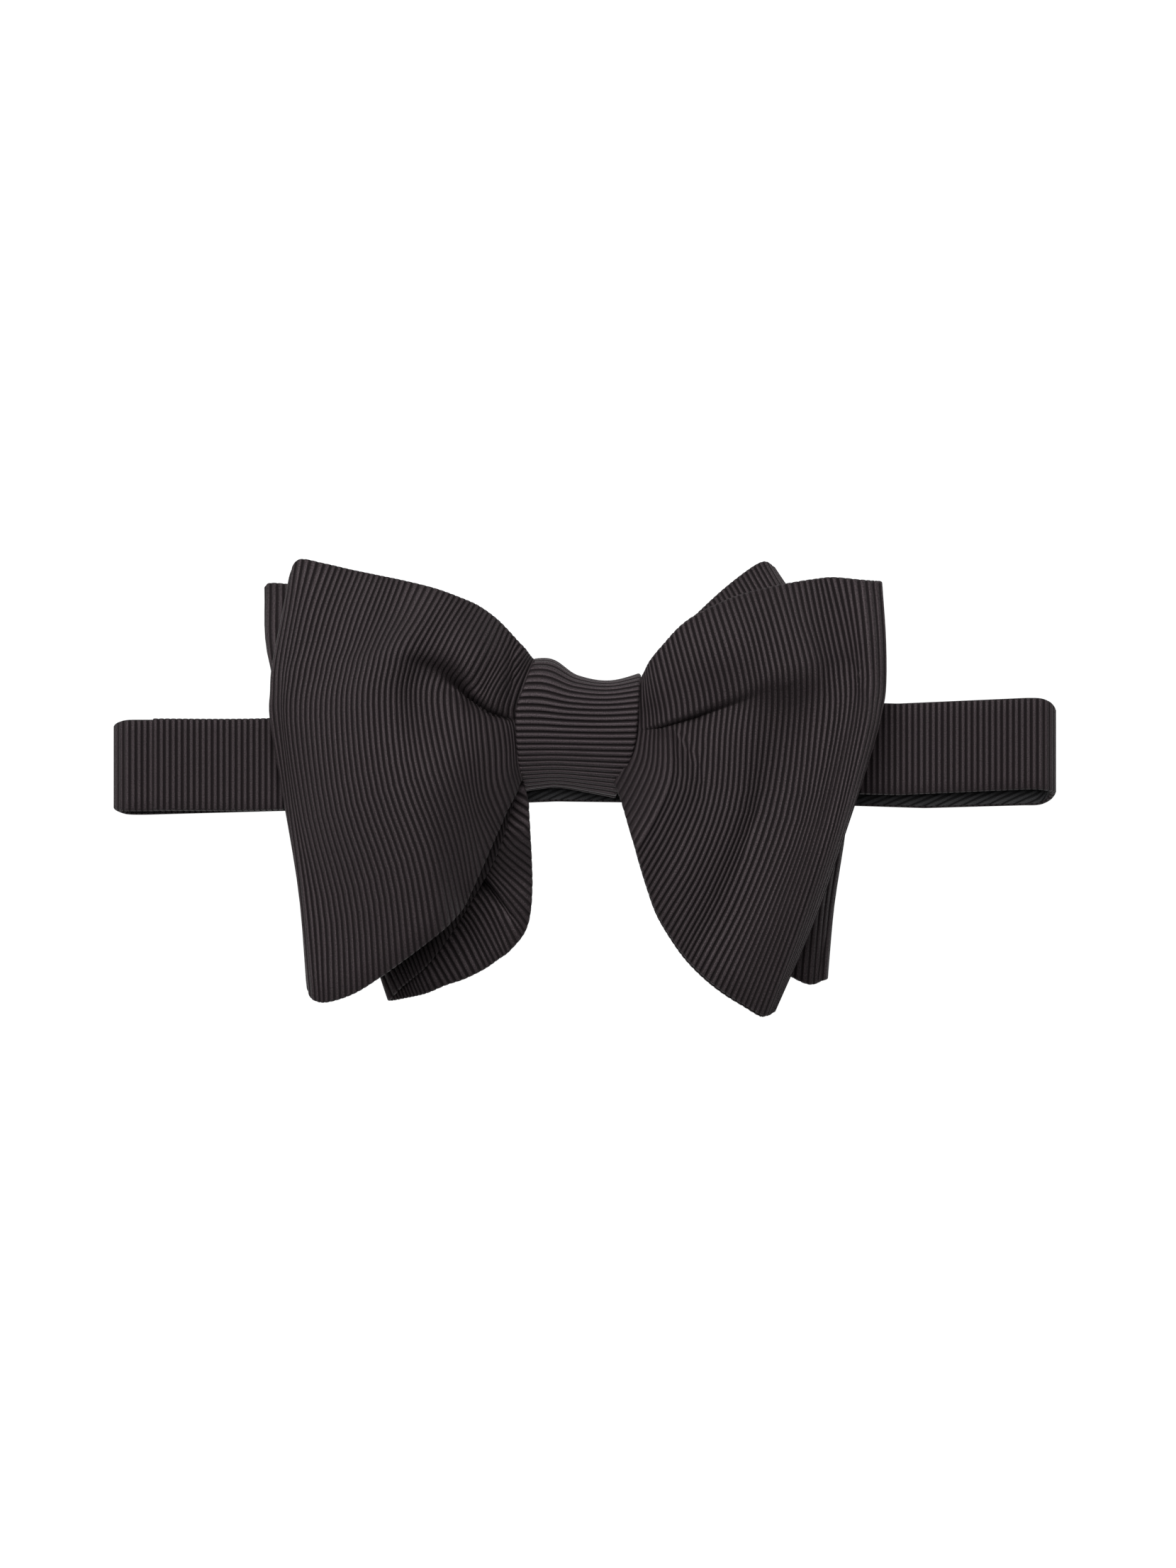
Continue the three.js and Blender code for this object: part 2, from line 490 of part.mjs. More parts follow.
// Outline of the knot seen from the front: [x, y] along its top and bottom, [y, x] down its two sides
const KNOT_TOP = [[-14, 27.2], [-8.6, 27.3], [-2.6, 23.8], [4.4, 22.6], [12, 24.2]];
const KNOT_BOTTOM = [[-14, -0.8], [-9.6, -0.2], [-4.5, 0.2], [4.2, -1.0], [12, -2.2]];
const KNOT_LEFT = [[-2, -12.4], [1, -13.0], [4, -14.0], [16, -14.7], [20.6, -13.2], [28, -10.4]];
const KNOT_RIGHT = [[-2, 6.3], [3.8, 8.9], [9.5, 10.7], [14.5, 11.3], [24, 11.7]];
// Half of its section, from the crown to the flat back: [y, z] in parts of its half height and half depth
const KNOT_SECTION = [[0, 1], [0.34, 0.985], [0.62, 0.93], [0.84, 0.8], [0.96, 0.52], [1, 0.1],
  [1, -0.6], [0.95, -0.9], [0.84, -1], [0.45, -1], [0, -1]];

function knotWrap() {
  const stations = 6;
  const half = CLOTH / 2;
  const lower = KNOT_SECTION.slice(1, -1).toReversed().map(([y, z]) => [-y, z]);
  const section = [...KNOT_SECTION, ...lower];
  const backZ = KNOT_BACK_Z + half;
  const grid = section.map(([unitY, unitZ]) =>
    Array.from({ length: stations + 1 }, (_, j) => {
      const roughX = mix(-12.5, 10.5, j / stations);
      const top = along(KNOT_TOP, roughX) - half;
      const bottom = along(KNOT_BOTTOM, roughX) + half;
      const y = mix(bottom, top, (unitY + 1) / 2);
      const x = mix(along(KNOT_LEFT, y), along(KNOT_RIGHT, y), j / stations);
      const frontZ = KNOT_FRONT_Z - half + KNOT_EDGE_RISE * ((2 * j) / stations - 1) ** 2;
      return new THREE.Vector3(x, y, mix(backZ, frontZ, (unitZ + 1) / 2));
    }),
  );
  return clothWall(grid, CLOTH, true);
}

const bowTie = new THREE.Group();

function add(name, geometry, material) {
  const mesh = new THREE.Mesh(geometry, material);
  mesh.name = name;
  bowTie.add(mesh);
  return mesh;
}

add('front_bow', frontBow(), RIBBED_SILK);
add('rear_bow', rearBow(), RIBBED_SILK);
add('knot_wrap', knotWrap(), KNOT_SILK);
add('neck_band', neckBand(), BAND_SILK);
add('band_tail', bandTail(), BAND_SILK);
const clasp = add('hook_clasp', claspPlate(), CLASP_METAL);
clasp.position.set(CLASP.x, CLASP.y, CLASP_Z);

export default bowTie;
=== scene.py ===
# %% [markdown]
# # A pre-tied bow tie of ribbed silk
# A pre-tied bow tie has two bows, one lying on the other. Each bow is a ring of doubled silk,
# pressed flat and gathered at its waist. A short sleeve, the knot, goes round both waists and round
# the neck band, which is a closed loop that lies flattened behind the bows.
#
# The silk is ribbed: thick cords lie side by side under fine threads. The ribs show every bend of
# the cloth, so here they are real relief in the mesh, not a picture of it, though the shade down in
# their grooves is painted. Each piece of cloth is one closed skin: a flat grid whose rows follow the
# ribs, laid round the cloth's wall.

# %% Load the frame
import math

import bmesh
import bpy
import numpy as np
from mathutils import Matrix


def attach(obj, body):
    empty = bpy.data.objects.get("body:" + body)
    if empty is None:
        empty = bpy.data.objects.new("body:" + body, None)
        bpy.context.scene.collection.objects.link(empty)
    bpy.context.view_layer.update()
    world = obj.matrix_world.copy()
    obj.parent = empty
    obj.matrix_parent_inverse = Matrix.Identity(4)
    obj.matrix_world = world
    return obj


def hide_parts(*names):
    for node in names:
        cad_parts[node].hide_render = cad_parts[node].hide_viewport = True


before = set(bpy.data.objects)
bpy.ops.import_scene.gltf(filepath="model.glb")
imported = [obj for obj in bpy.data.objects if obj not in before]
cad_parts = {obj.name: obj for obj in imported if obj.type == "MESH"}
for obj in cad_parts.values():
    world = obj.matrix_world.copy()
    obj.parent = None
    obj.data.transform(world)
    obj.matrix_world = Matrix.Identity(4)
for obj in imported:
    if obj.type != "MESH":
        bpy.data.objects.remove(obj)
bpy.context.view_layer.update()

MM = 0.001  # the tables below are in millimetres, Blender is in metres
SQUARE_CM = 1e-4

# %% [markdown]
# ## The camera and the light
# The photo looks straight down on the tie from far away, so a long lens high above the table has the
# same small perspective.

# %% Camera
PHOTO_WIDTH, PHOTO_HEIGHT = 1659, 2212
PIXELS_PER_MM = 6.66  # at the table top
CAMERA_HEIGHT = 1600.0
PHOTO_MIDDLE = (0.68, 0.98)  # the tie's place under the middle of the picture, in mm


def add_object(name, data):
    made = bpy.data.objects.new(name, data)
    bpy.context.scene.collection.objects.link(made)
    return made


camera_data = bpy.data.cameras.new("photo_camera")
camera = add_object("photo_camera", camera_data)
camera_data.sensor_width = 36.0
camera_data.lens = camera_data.sensor_width * CAMERA_HEIGHT / (PHOTO_HEIGHT / PIXELS_PER_MM)
camera_data.clip_start, camera_data.clip_end = 0.05, 20.0
camera.location = (PHOTO_MIDDLE[0] * MM, PHOTO_MIDDLE[1] * MM, CAMERA_HEIGHT * MM)
bpy.context.scene.camera = camera
print("lens", round(camera_data.lens, 1), "mm, picture", round(PHOTO_WIDTH / PIXELS_PER_MM), "mm wide")

# %% [markdown]
# A product photo on white is often taken on a light table: the ground glows, so it turns pure white
# with no shadow on it, but it throws little of the lamp back. Black silk stays readable on it because
# its slopes catch the lamp. Here one large soft lamp stands towards the top of the picture, and a dim
# room fills the rest. A white ground that is lit as well would fill the folds with grey.

# %% Shader nodes


def feed(tree, target, inputs):
    """Give a node's inputs a number, a colour or another node's output."""
    for key, value in inputs.items():
        if isinstance(value, bpy.types.NodeSocket):
            tree.links.new(value, target.inputs[key])
        else:
            target.inputs[key].default_value = value


def node(tree, kind, inputs, **settings):
    made = tree.nodes.new("ShaderNode" + kind)
    for key, value in settings.items():
        setattr(made, key, value)
    feed(tree, made, inputs)
    return made


def new_material(name):
    made = bpy.data.materials.new(name)
    made.use_nodes = True
    made.node_tree.nodes.clear()
    return made, made.node_tree


def principled(tree, inputs):
    """The material's shader and its output."""
    shader = node(tree, "BsdfPrincipled", inputs)
    node(tree, "OutputMaterial", {"Surface": shader.outputs["BSDF"]})


# %% Floor and lamp
FLOOR_SIZE = 6.0
FLOOR_COLOUR = (0.06, 0.06, 0.06, 1)
FLOOR_GLOW = 1.0
ROOM_LIGHT = 0.1
WHITE = (1, 1, 1, 1)


def make_floor():
    bm = bmesh.new()
    bmesh.ops.create_grid(bm, x_segments=1, y_segments=1, size=FLOOR_SIZE / 2)
    mesh = bpy.data.meshes.new("white_table")
    bm.to_mesh(mesh)
    bm.free()
    paper, tree = new_material("white_paper")
    principled(tree, {
        "Base Color": FLOOR_COLOUR, "Roughness": 0.9, "Specular IOR Level": 0.1,
        "Emission Color": WHITE, "Emission Strength": FLOOR_GLOW,
    })
    mesh.materials.append(paper)
    floor = add_object("white_table", mesh)


def make_lamp(name, size, power, place):
    """A round lamp that is turned to the origin."""
    data = bpy.data.lights.new(name, "AREA")
    data.shape = "DISK"
    data.size = size
    data.energy = power
    lamp = add_object(name, data)
    lamp.location = place
    aim = -np.array(place) / np.linalg.norm(place)
    from_above = math.atan2(math.hypot(aim[0], aim[1]), -aim[2])
    lamp.rotation_euler = (from_above, 0, math.atan2(-aim[0], aim[1]))


make_floor()
make_lamp("soft_key", size=1.6, power=87.0, place=(-0.2, 0.72, 1.78))

world = bpy.data.worlds.new("studio")
world.use_nodes = True
feed(world.node_tree, world.node_tree.nodes["Background"], {"Color": WHITE, "Strength": ROOM_LIGHT})
bpy.context.scene.world = world
bpy.context.scene.view_settings.view_transform = "Standard"

# %% [markdown]
# ## Curves through a few named values
# A gathered wing is a soft surface that a few lines describe well: each line follows one rib from the
# top edge to the hem. Smooth curves through the lines, both along and across them, fill in the rest.

# %% Curves and tables


def smooth_step(t):
    s = np.clip(t, 0, 1)
    return s * s * (3 - 2 * s)


def ramp(value, start, end):
    """0 before start, 1 past end, with a smooth step between them."""
    return smooth_step((value - start) / (end - start))


def mix(a, b, t):
    return a + (b - a) * t


def through(values, at):
    """A smooth curve through evenly numbered values, carried on straight past both ends."""
    values, at = np.asarray(values, float), np.asarray(at, float)
    last = len(values) - 1
    i = np.clip(np.floor(at).astype(int), 0, last - 1)
    t = at - i
    own = (np.arange(at.size).reshape(at.shape),) if values.ndim > 1 else ()
    b, c = values[(i, *own)], values[(i + 1, *own)]
    a = np.where(i > 0, values[(np.maximum(i - 1, 0), *own)], 2 * b - c)
    d = np.where(i + 2 <= last, values[(np.minimum(i + 2, last), *own)], 2 * c - b)
    square = 2 * a - 5 * b + 4 * c - d
    cube = 3 * b - a - 3 * c + d
    inside = 0.5 * (2 * b + (c - a) * t + square * t**2 + cube * t**3)
    return np.where((t < 0) | (t > 1), mix(b, c, t), inside)


def along(rows, position):
    """A smooth curve through rows of (position, value)."""
    number = np.interp(position, [row[0] for row in rows], np.arange(len(rows)))
    return through([row[1] for row in rows], number)


def table_point(rows, row, across):
    """The point of a wing's table at a fractional row, across from 0 at the top edge to 1 at the hem."""
    shape = np.shape(row)
    row, column = np.ravel(row), np.ravel(across) * (len(rows[0]["x"]) - 1)
    axes = [through(np.array([through(line[key], column) for line in rows]), row) for key in "xyz"]
    return np.stack(axes, -1).reshape(*shape, 3)


def lengths_along(points):
    """How far each point lies along its path, or each row along its grid, from the first."""
    steps = np.linalg.norm(np.diff(points, axis=0), axis=-1)
    if steps.ndim > 1:
        steps = steps.mean(1)
    return np.concatenate([[0], np.cumsum(steps)])


# %% [markdown]
# ## The sizes that all pieces share
# Heights are those of the middle of each wall where it passes through the knot, and for the knot those
# of its outside. From the table up: rear layer of the band, neck hollow, knot's back, front layer of
# the band, rear bow, front bow, knot.

# %% Sizes
CLOTH = 1.2
BAND_CLOTH = 1.4
GAP = 0.3
NECK_HOLLOW = 5.4
BAND_WIDTH = 19.3
KNOT_STAND = 2.3  # from the front bow's face to the knot's
KNOT_EDGE_RISE = 0.9  # how much higher the knot's left and right edges stand

REAR_LAYER_Z = BAND_CLOTH / 2
KNOT_BACK_Z = BAND_CLOTH + NECK_HOLLOW
FRONT_LAYER_Z = KNOT_BACK_Z + CLOTH + GAP + BAND_CLOTH / 2
PLY_STEP = CLOTH + GAP
REAR_BOW_BACK_Z = FRONT_LAYER_Z + BAND_CLOTH / 2 + GAP + CLOTH / 2
REAR_BOW_FRONT_Z = REAR_BOW_BACK_Z + PLY_STEP
FRONT_BOW_BACK_Z = REAR_BOW_FRONT_Z + PLY_STEP
FRONT_BOW_FRONT_Z = FRONT_BOW_BACK_Z + PLY_STEP
KNOT_FRONT_Z = FRONT_BOW_FRONT_Z + CLOTH / 2 + KNOT_STAND
print("knot's back", round(KNOT_BACK_Z, 1), "mm, its front", round(KNOT_FRONT_Z, 1), "mm above the table")

# %% [markdown]
# ## Ribs, and a skin of cloth
# One rib is a broad crest between two narrow grooves, 1.25 mm apart. The mesh has six lines for each
# rib, closer together near the groove, so that the groove stays sharp without a finer mesh. Four
# lines do for the plies that hardly show.
#
# A wall of cloth is closed all round: out along its face, round the folded hem, back along its other
# face and round the top edge. A grid operator makes the flat sheet of faces, every vertex is then
# laid on the wall, and the sheet's borders are merged where they meet.

# %% Ribs
RIB = 1.25
RIB_DEPTH = 0.13
RIB_FLATNESS = 3.0  # the higher it is, the broader the crest
RIB_WAVINESS = 0.2  # how much of the depth varies from place to place
RIB_LINES = np.array([0.0, 0.12, 0.3, 0.5, 0.7, 0.88])
HIDDEN_RIB_LINES = np.array([0.0, 0.25, 0.5, 0.75])
WAVES = 5
WAVE_SUM = 2.6  # about the most that the waves add up to


def rib_height(phases):
    """0 in the groove, 1 on the crest, for phases that count the ribs."""
    return 1 - np.abs(2 * np.mod(phases, 1.0) - 1) ** RIB_FLATNESS


def rib_relief(phases, waviness=0):
    """How far under the level of the crests each mesh line lies."""
    return RIB_DEPTH * (1 + RIB_WAVINESS * waviness) * (1 - rib_height(phases))[:, None]


def rib_phases(hidden):
    """Mesh lines of a row of ribs, numbered in ribs: fewer for each rib that is hidden."""
    return np.concatenate([n + (HIDDEN_RIB_LINES if h else RIB_LINES) for n, h in enumerate(hidden)])


def uneven(a, b, seed):
    """A smooth wavy field between about -1 and 1, the same each time for one seed."""
    rng = np.random.default_rng(seed)
    total = np.zeros(np.broadcast(a, b).shape)
    for _ in range(WAVES):
        fa, fb = rng.uniform(-1, 1, 2)
        total = total + np.sin(fa * a + fb * b + rng.uniform(0, 2 * math.pi))
    return total / WAVE_SUM


# %% The skin of a wall
RIM_STEPS = 3
RIM_REACH = 0.45  # how far the folded edge of a wall stands out past its last line


def unit(v):
    return v / np.maximum(np.linalg.norm(v, axis=-1, keepdims=True), 1e-9)


def wall_normals(middle, is_ring):
    """Unit normals of a grid of middle points (along, across, 3)."""
    if is_ring:
        step = np.roll(middle, -1, 0) - np.roll(middle, 1, 0)
    else:
        step = np.gradient(middle, axis=0)
    return unit(np.cross(step, np.gradient(middle, axis=1)))


def skin_round_wall(middle, normal, half, relief, back_ribbed=1.0):
    """Points round a wall: face, hem, back and top edge. relief is taken off all round."""
    face = middle + normal * (half - relief)[..., None]
    back = middle - normal * (half - relief * back_ribbed)[..., None]
    angles = [math.pi * k / (RIM_STEPS + 1) for k in range(1, RIM_STEPS + 1)]

    def rim(edge, outward, sign):
        e, n, h = middle[:, edge], normal[:, edge], (half - relief * back_ribbed)[:, edge, None]
        reach = RIM_REACH * h / np.maximum(half[:, edge, None], 1e-6)
        return [e + sign * n * h * math.cos(a) + outward * reach * math.sin(a) for a in angles]

    hem = rim(-1, unit(middle[:, -1] - middle[:, -2]), 1)
    top = rim(0, unit(middle[:, 0] - middle[:, 1]), -1)
    columns = [*np.moveaxis(face, 1, 0), *hem, *np.moveaxis(back[:, ::-1], 1, 0), *top]
    return np.stack(columns, 1)


def lengths_round(skin):
    """How far round the wall each column of a skin lies from the first, in mm, on average."""
    steps = np.linalg.norm(np.diff(skin, axis=1, append=skin[:, :1]), axis=-1)
    return np.concatenate([[0], np.cumsum(steps.mean(0))])


# %% A mesh from a skin
MERGE_DISTANCE = 2e-6


def folded_grid(name, skin, is_ring):
    """A mesh whose vertices lie on the skin, and the row and column of each vertex."""
    rows, columns = skin.shape[:2]
    steps = rows if is_ring else rows - 1
    bm = bmesh.new()
    bmesh.ops.create_grid(bm, x_segments=steps, y_segments=columns, size=1.0)
    mesh = bpy.data.meshes.new(name)
    bm.to_mesh(mesh)
    bm.free()
    flat = np.zeros(len(mesh.vertices) * 3)
    mesh.vertices.foreach_get("co", flat)
    flat = flat.reshape(-1, 3)
    i = np.rint((flat[:, 0] + 1) / 2 * steps).astype(int)
    j = np.rint((flat[:, 1] + 1) / 2 * columns).astype(int)
    mesh.vertices.foreach_set("co", (skin[i % rows, j % columns] * MM).ravel())
    return mesh, i, j


def close_skin(mesh):
    """Merge the borders where they meet, and count the edges that stay open."""
    bm = bmesh.new()
    bm.from_mesh(mesh)
    bmesh.ops.remove_doubles(bm, verts=bm.verts, dist=MERGE_DISTANCE)
    bmesh.ops.recalc_face_normals(bm, faces=bm.faces)
    for face in bm.faces:
        face.smooth = True
    loose = sum(1 for edge in bm.edges if not edge.is_manifold)
    bm.to_mesh(mesh)
    bm.free()
    return loose


def cloth_mesh(name, skin, phases, is_ring, material, lining=None):
    """One object of a skin (along, round, 3) in mm, with the rib number and the way along it as UV."""
    mesh, i, j = folded_grid(name, skin, is_ring)
    numbers = np.append(phases, np.ceil(phases[-1])) if is_ring else phases
    way = lengths_round(skin)
    layer = mesh.uv_layers.new(name="ribs")
    corner = np.zeros(len(mesh.loops), int)
    mesh.loops.foreach_get("vertex_index", corner)
    uv = np.stack([numbers[i[corner]], way[j[corner]] / RIB], -1)
    layer.data.foreach_set("uv", uv.ravel())
    mesh.materials.append(material)
    if lining:
        lining_material, first, last = lining
        mesh.materials.append(lining_material)
        column = np.array([j[list(p.vertices)].mean() for p in mesh.polygons])
        mesh.polygons.foreach_set("material_index", ((column > first) & (column < last)).astype(int))
    loose = close_skin(mesh)
    area = sum(p.area for p in mesh.polygons) / 2 / SQUARE_CM
    print(f"{name}: {2 * len(mesh.polygons)} triangles, {loose} open edges, {area:.0f} cm2 of cloth")
    return add_object(name, mesh)


# %% [markdown]
# ## The silk's finish
# Black silk is a very dark warm grey. Fine threads run across each cord and break up its shine, and
# the grooves between the cords are painted almost black: painted shade, standing for the shadow down
# in them. A velvet-like sheen looked dusty on it, so the gloss comes from a dull highlight with a warm
# tint, which the threads make uneven. All patterns follow the cloth's own UV map: the first coordinate
# counts the ribs, the second runs along them.

# %% Nodes for ribbed cloth


def math_node(tree, operation, *values):
    return node(tree, "Math", dict(enumerate(values)), operation=operation).outputs[0]


def noise(tree, uv, scale, detail, roughness=0.5):
    inputs = {"Vector": uv, "Scale": scale, "Detail": detail, "Roughness": roughness}
    return node(tree, "TexNoise", inputs, noise_dimensions="2D").outputs["Fac"]


def map_range(tree, value, before=(0, 1), after=(0, 1), kind="LINEAR"):
    ends = zip(("From Min", "From Max", "To Min", "To Max"), (*before, *after))
    made = node(tree, "MapRange", {"Value": value, **dict(ends)}, interpolation_type=kind)
    return made.outputs["Result"]


def mix_colours(tree, factor, dark, light):
    made = node(tree, "Mix", {"Factor": factor}, data_type="RGBA")
    first, second = (number for number, socket in enumerate(made.inputs) if socket.type == "RGBA")
    feed(tree, made, {first: dark, second: light})
    return next(socket for socket in made.outputs if socket.type == "RGBA")


def bump(tree, height, strength, distance):
    inputs = {"Height": height, "Strength": strength, "Distance": distance * MM}
    return node(tree, "Bump", inputs).outputs["Normal"]


def rib_map(tree):
    """The UV map, and its two coordinates: rib number and way along the rib."""
    uv = node(tree, "UVMap", {}, uv_map="ribs").outputs["UV"]
    split = node(tree, "SeparateXYZ", {"Vector": uv})
    return uv, split.outputs["X"], split.outputs["Y"]


def off_crest(tree, phase):
    """0 on a crest, 0.5 in a groove."""
    part = math_node(tree, "FRACT", phase)
    return math_node(tree, "ABSOLUTE", math_node(tree, "SUBTRACT", part, 0.5))


# %% Ribbed silk
# The groove colour is painted shade: it stands for the shadow down between the cords
SILK_GROOVE_PAINTED_SHADE = (0.0005, 0.0004, 0.0004, 1)
SILK_SHADE = (0.001, 0.0008, 0.0009, 1)  # on a crest, between the threads
SILK_TINT = (1, 0.84, 0.89, 1)
GROOVE_EDGES = (0.48, 0.24)  # from where to where the crest rises out of the groove


def ribbed_silk(name, thread_colour, roughness):
    made, tree = new_material(name)
    uv, rib_number, _ = rib_map(tree)
    off = off_crest(tree, rib_number)
    crest = map_range(tree, off, GROOVE_EDGES, kind="SMOOTHSTEP")

    # Threads that cross each cord are short light and dark grains, and whole stretches vary a little
    thread = map_range(tree, noise(tree, uv, 5.5, 3.0, 0.65), (0.3, 0.7))
    stretch = map_range(tree, noise(tree, uv, 0.35, 2.0), after=(0.86, 1.14))
    silk = mix_colours(tree, thread, SILK_SHADE, thread_colour)
    silk = node(tree, "HueSaturation", {"Value": stretch, "Color": silk}).outputs["Color"]

    # The bump rounds the crest, sinks the groove and raises the threads a little
    rounding = math_node(tree, "MULTIPLY", math_node(tree, "MULTIPLY", off, off), -2.6)
    raised = math_node(tree, "ADD", math_node(tree, "MULTIPLY", crest, 0.7), rounding)
    height = math_node(tree, "ADD", raised, math_node(tree, "MULTIPLY", thread, 0.1))

    # Grooves are dull, and crests are duller between the threads
    gloss = math_node(tree, "ADD", 0.62, math_node(tree, "MULTIPLY", thread, 0.6))
    worn = math_node(tree, "MULTIPLY", crest, gloss)
    # The base colour is painted almost black in the grooves: painted shade for the shadow between the cords
    principled(tree, {
        "Base Color": mix_colours(tree, crest, SILK_GROOVE_PAINTED_SHADE, silk),
        "Normal": bump(tree, height, 1.0, 0.36),
        "Roughness": map_range(tree, worn, after=(1.0, roughness)),
        "Specular IOR Level": 0.29,
        "Specular Tint": SILK_TINT,
    })
    return made


WING_SILK = ribbed_silk("wing_silk", (0.022, 0.0174, 0.0188, 1), 0.54)
# The knot's silk is a lighter, glossier copy of the wing silk: its lighter colour is painted light
LIGHTENED_KNOT_SILK = ribbed_silk("knot_silk", (0.027, 0.0213, 0.0234, 1), 0.49)
BAND_SILK = ribbed_silk("band_silk", (0.02, 0.0158, 0.0173, 1), 0.58)

# %% [markdown]
# The inside of the neck band is lined with a cooler cloth whose ribs run slantwise. It shows where the
# rear layer looks out under the front one, and in the sliver below the knot.

# %% Slanting lining
# The lining's dark colour is both the dark end of its grain and painted shade in its grooves
LINING_DARK_GRAIN_AND_GROOVE_SHADE = (0.002, 0.002, 0.0022, 1)
LINING_CREST = (0.05, 0.05, 0.053, 1)
LINING_SLOPE = 0.45


def slanting_lining(name):
    made, tree = new_material(name)
    uv, rib_number, way = rib_map(tree)
    slant = math_node(tree, "MULTIPLY", rib_number, LINING_SLOPE)
    off = off_crest(tree, math_node(tree, "ADD", way, slant))
    crest = map_range(tree, off, (0.5, 0.15), kind="SMOOTHSTEP")
    cloth = mix_colours(tree, noise(tree, uv, 6.0, 3.0), LINING_DARK_GRAIN_AND_GROOVE_SHADE, LINING_CREST)
    # The grooves are painted almost black: painted shade between the slanting ribs
    principled(tree, {
        "Base Color": mix_colours(tree, crest, LINING_DARK_GRAIN_AND_GROOVE_SHADE, cloth),
        "Normal": bump(tree, crest, 0.9, 0.2),
        "Roughness": 0.6,
        "Specular IOR Level": 0.2,
        "Sheen Weight": 0.1,
        "Sheen Roughness": 0.4,
    })
    return made


LINING = slanting_lining("band_lining")

# %% [markdown]
# ## What the rear bow lies on
# Cloth lies on what is under it. Here that is the front layer of the neck band, with the doubled end
# on its left, and past the band's edges the cloth comes down to the table.

# %% The band's front layer
LOOP_LENGTH = 199.2
LOOP_END_TOP = 8.9
LOOP_END_Z = LOOP_END_TOP - BAND_CLOTH / 2
X, Y, WIDTH, Z = range(4)  # the columns of a strip's path
FRONT_LAYER = [
    (-93, 4.9, BAND_WIDTH, LOOP_END_Z),
    (-66, 5, BAND_WIDTH, LOOP_END_Z + 0.1),
    (-42, 6.8, BAND_WIDTH, FRONT_LAYER_Z - 0.4),
    (-16.5, 9.9, 17.6, FRONT_LAYER_Z),
    (-9, 10.4, 16.6, FRONT_LAYER_Z),
    (9, 10.4, 16.6, FRONT_LAYER_Z),
    (16.5, 10, 17.6, FRONT_LAYER_Z),
    (42, 8.9, BAND_WIDTH, FRONT_LAYER_Z - 0.4),
    (66, 8.3, BAND_WIDTH, LOOP_END_Z + 0.1),
    (93, 9.5, BAND_WIDTH, LOOP_END_Z),
]
TAIL = {"from": -91, "to": -57, "width": 19.4, "thickness": 1, "rise": 0.2, "ramp": 6}


def band_front(column, x):
    return along([(row[X], row[column]) for row in FRONT_LAYER], x)


# %% Heights of the layers
BAND_SHOULDER = 2.6  # the cloth stays level this far past the band's edge
TABLE_DRAPE = 18  # and comes down to the table over this
BETWEEN_AT_KNOT = (REAR_BOW_FRONT_Z + FRONT_BOW_BACK_Z) / 2
RISE_LEFT, RISE_RIGHT = 3.6, 1.8
RISE_X = (13, 36)  # from where to where along X the wings rise
DROOP = 5.5
DROOP_Y = (15, 42)  # from where to where along Y they droop, counted from BOWS_Y
BOWS_Y = 8
ROOM_IN_KNOT, ROOM_ON_WING = PLY_STEP / 2, 1.0
ROOM_X = (11, 19)
SURFACE_AIR = 0.25  # room for the ribs on its underside
LOWEST = CLOTH / 2 + SURFACE_AIR  # for the middle of a cloth that lies on the table


def under_rear_bow(x, y):
    """The top of what the rear bow lies on."""
    on_tail = (TAIL["thickness"] + GAP) * ramp(-x, -TAIL["to"] - TAIL["ramp"], -TAIL["to"])
    band_top = band_front(Z, x) + BAND_CLOTH / 2 + GAP + on_tail
    beside = np.abs(y - band_front(Y, x)) - BAND_WIDTH / 2 - BAND_SHOULDER
    return band_top * (1 - smooth_step(beside / TABLE_DRAPE))


def between_bows(x, y):
    """The height halfway between both bows: it rises along the wings and droops past their middle."""
    rise = np.where(x < 0, RISE_LEFT, RISE_RIGHT) * ramp(np.abs(x), *RISE_X)
    return BETWEEN_AT_KNOT + rise - DROOP * ramp(np.abs(y - BOWS_Y), *DROOP_Y)


def half_room(x):
    """Half the step from the middle of the rear bow's near ply to that of the front bow's far ply."""
    return mix(ROOM_IN_KNOT, ROOM_ON_WING, ramp(np.abs(x), *ROOM_X))


# %% [markdown]
# ## The wings' tables
# Each row of a table is one rib line, from the middle of the knot out to the fold at the wing's end.
# Its columns run from the top edge over the upper lobe, down into the crease, over the belly and the
# low part to the hem. For the front bow z is the height of its near ply. For the rear bow z is its
# depth under the front bow.

# %% Front bow


def line(x, y, z):
    """One rib line, its points from the top edge to the hem."""
    return {"x": x, "y": y, "z": z}


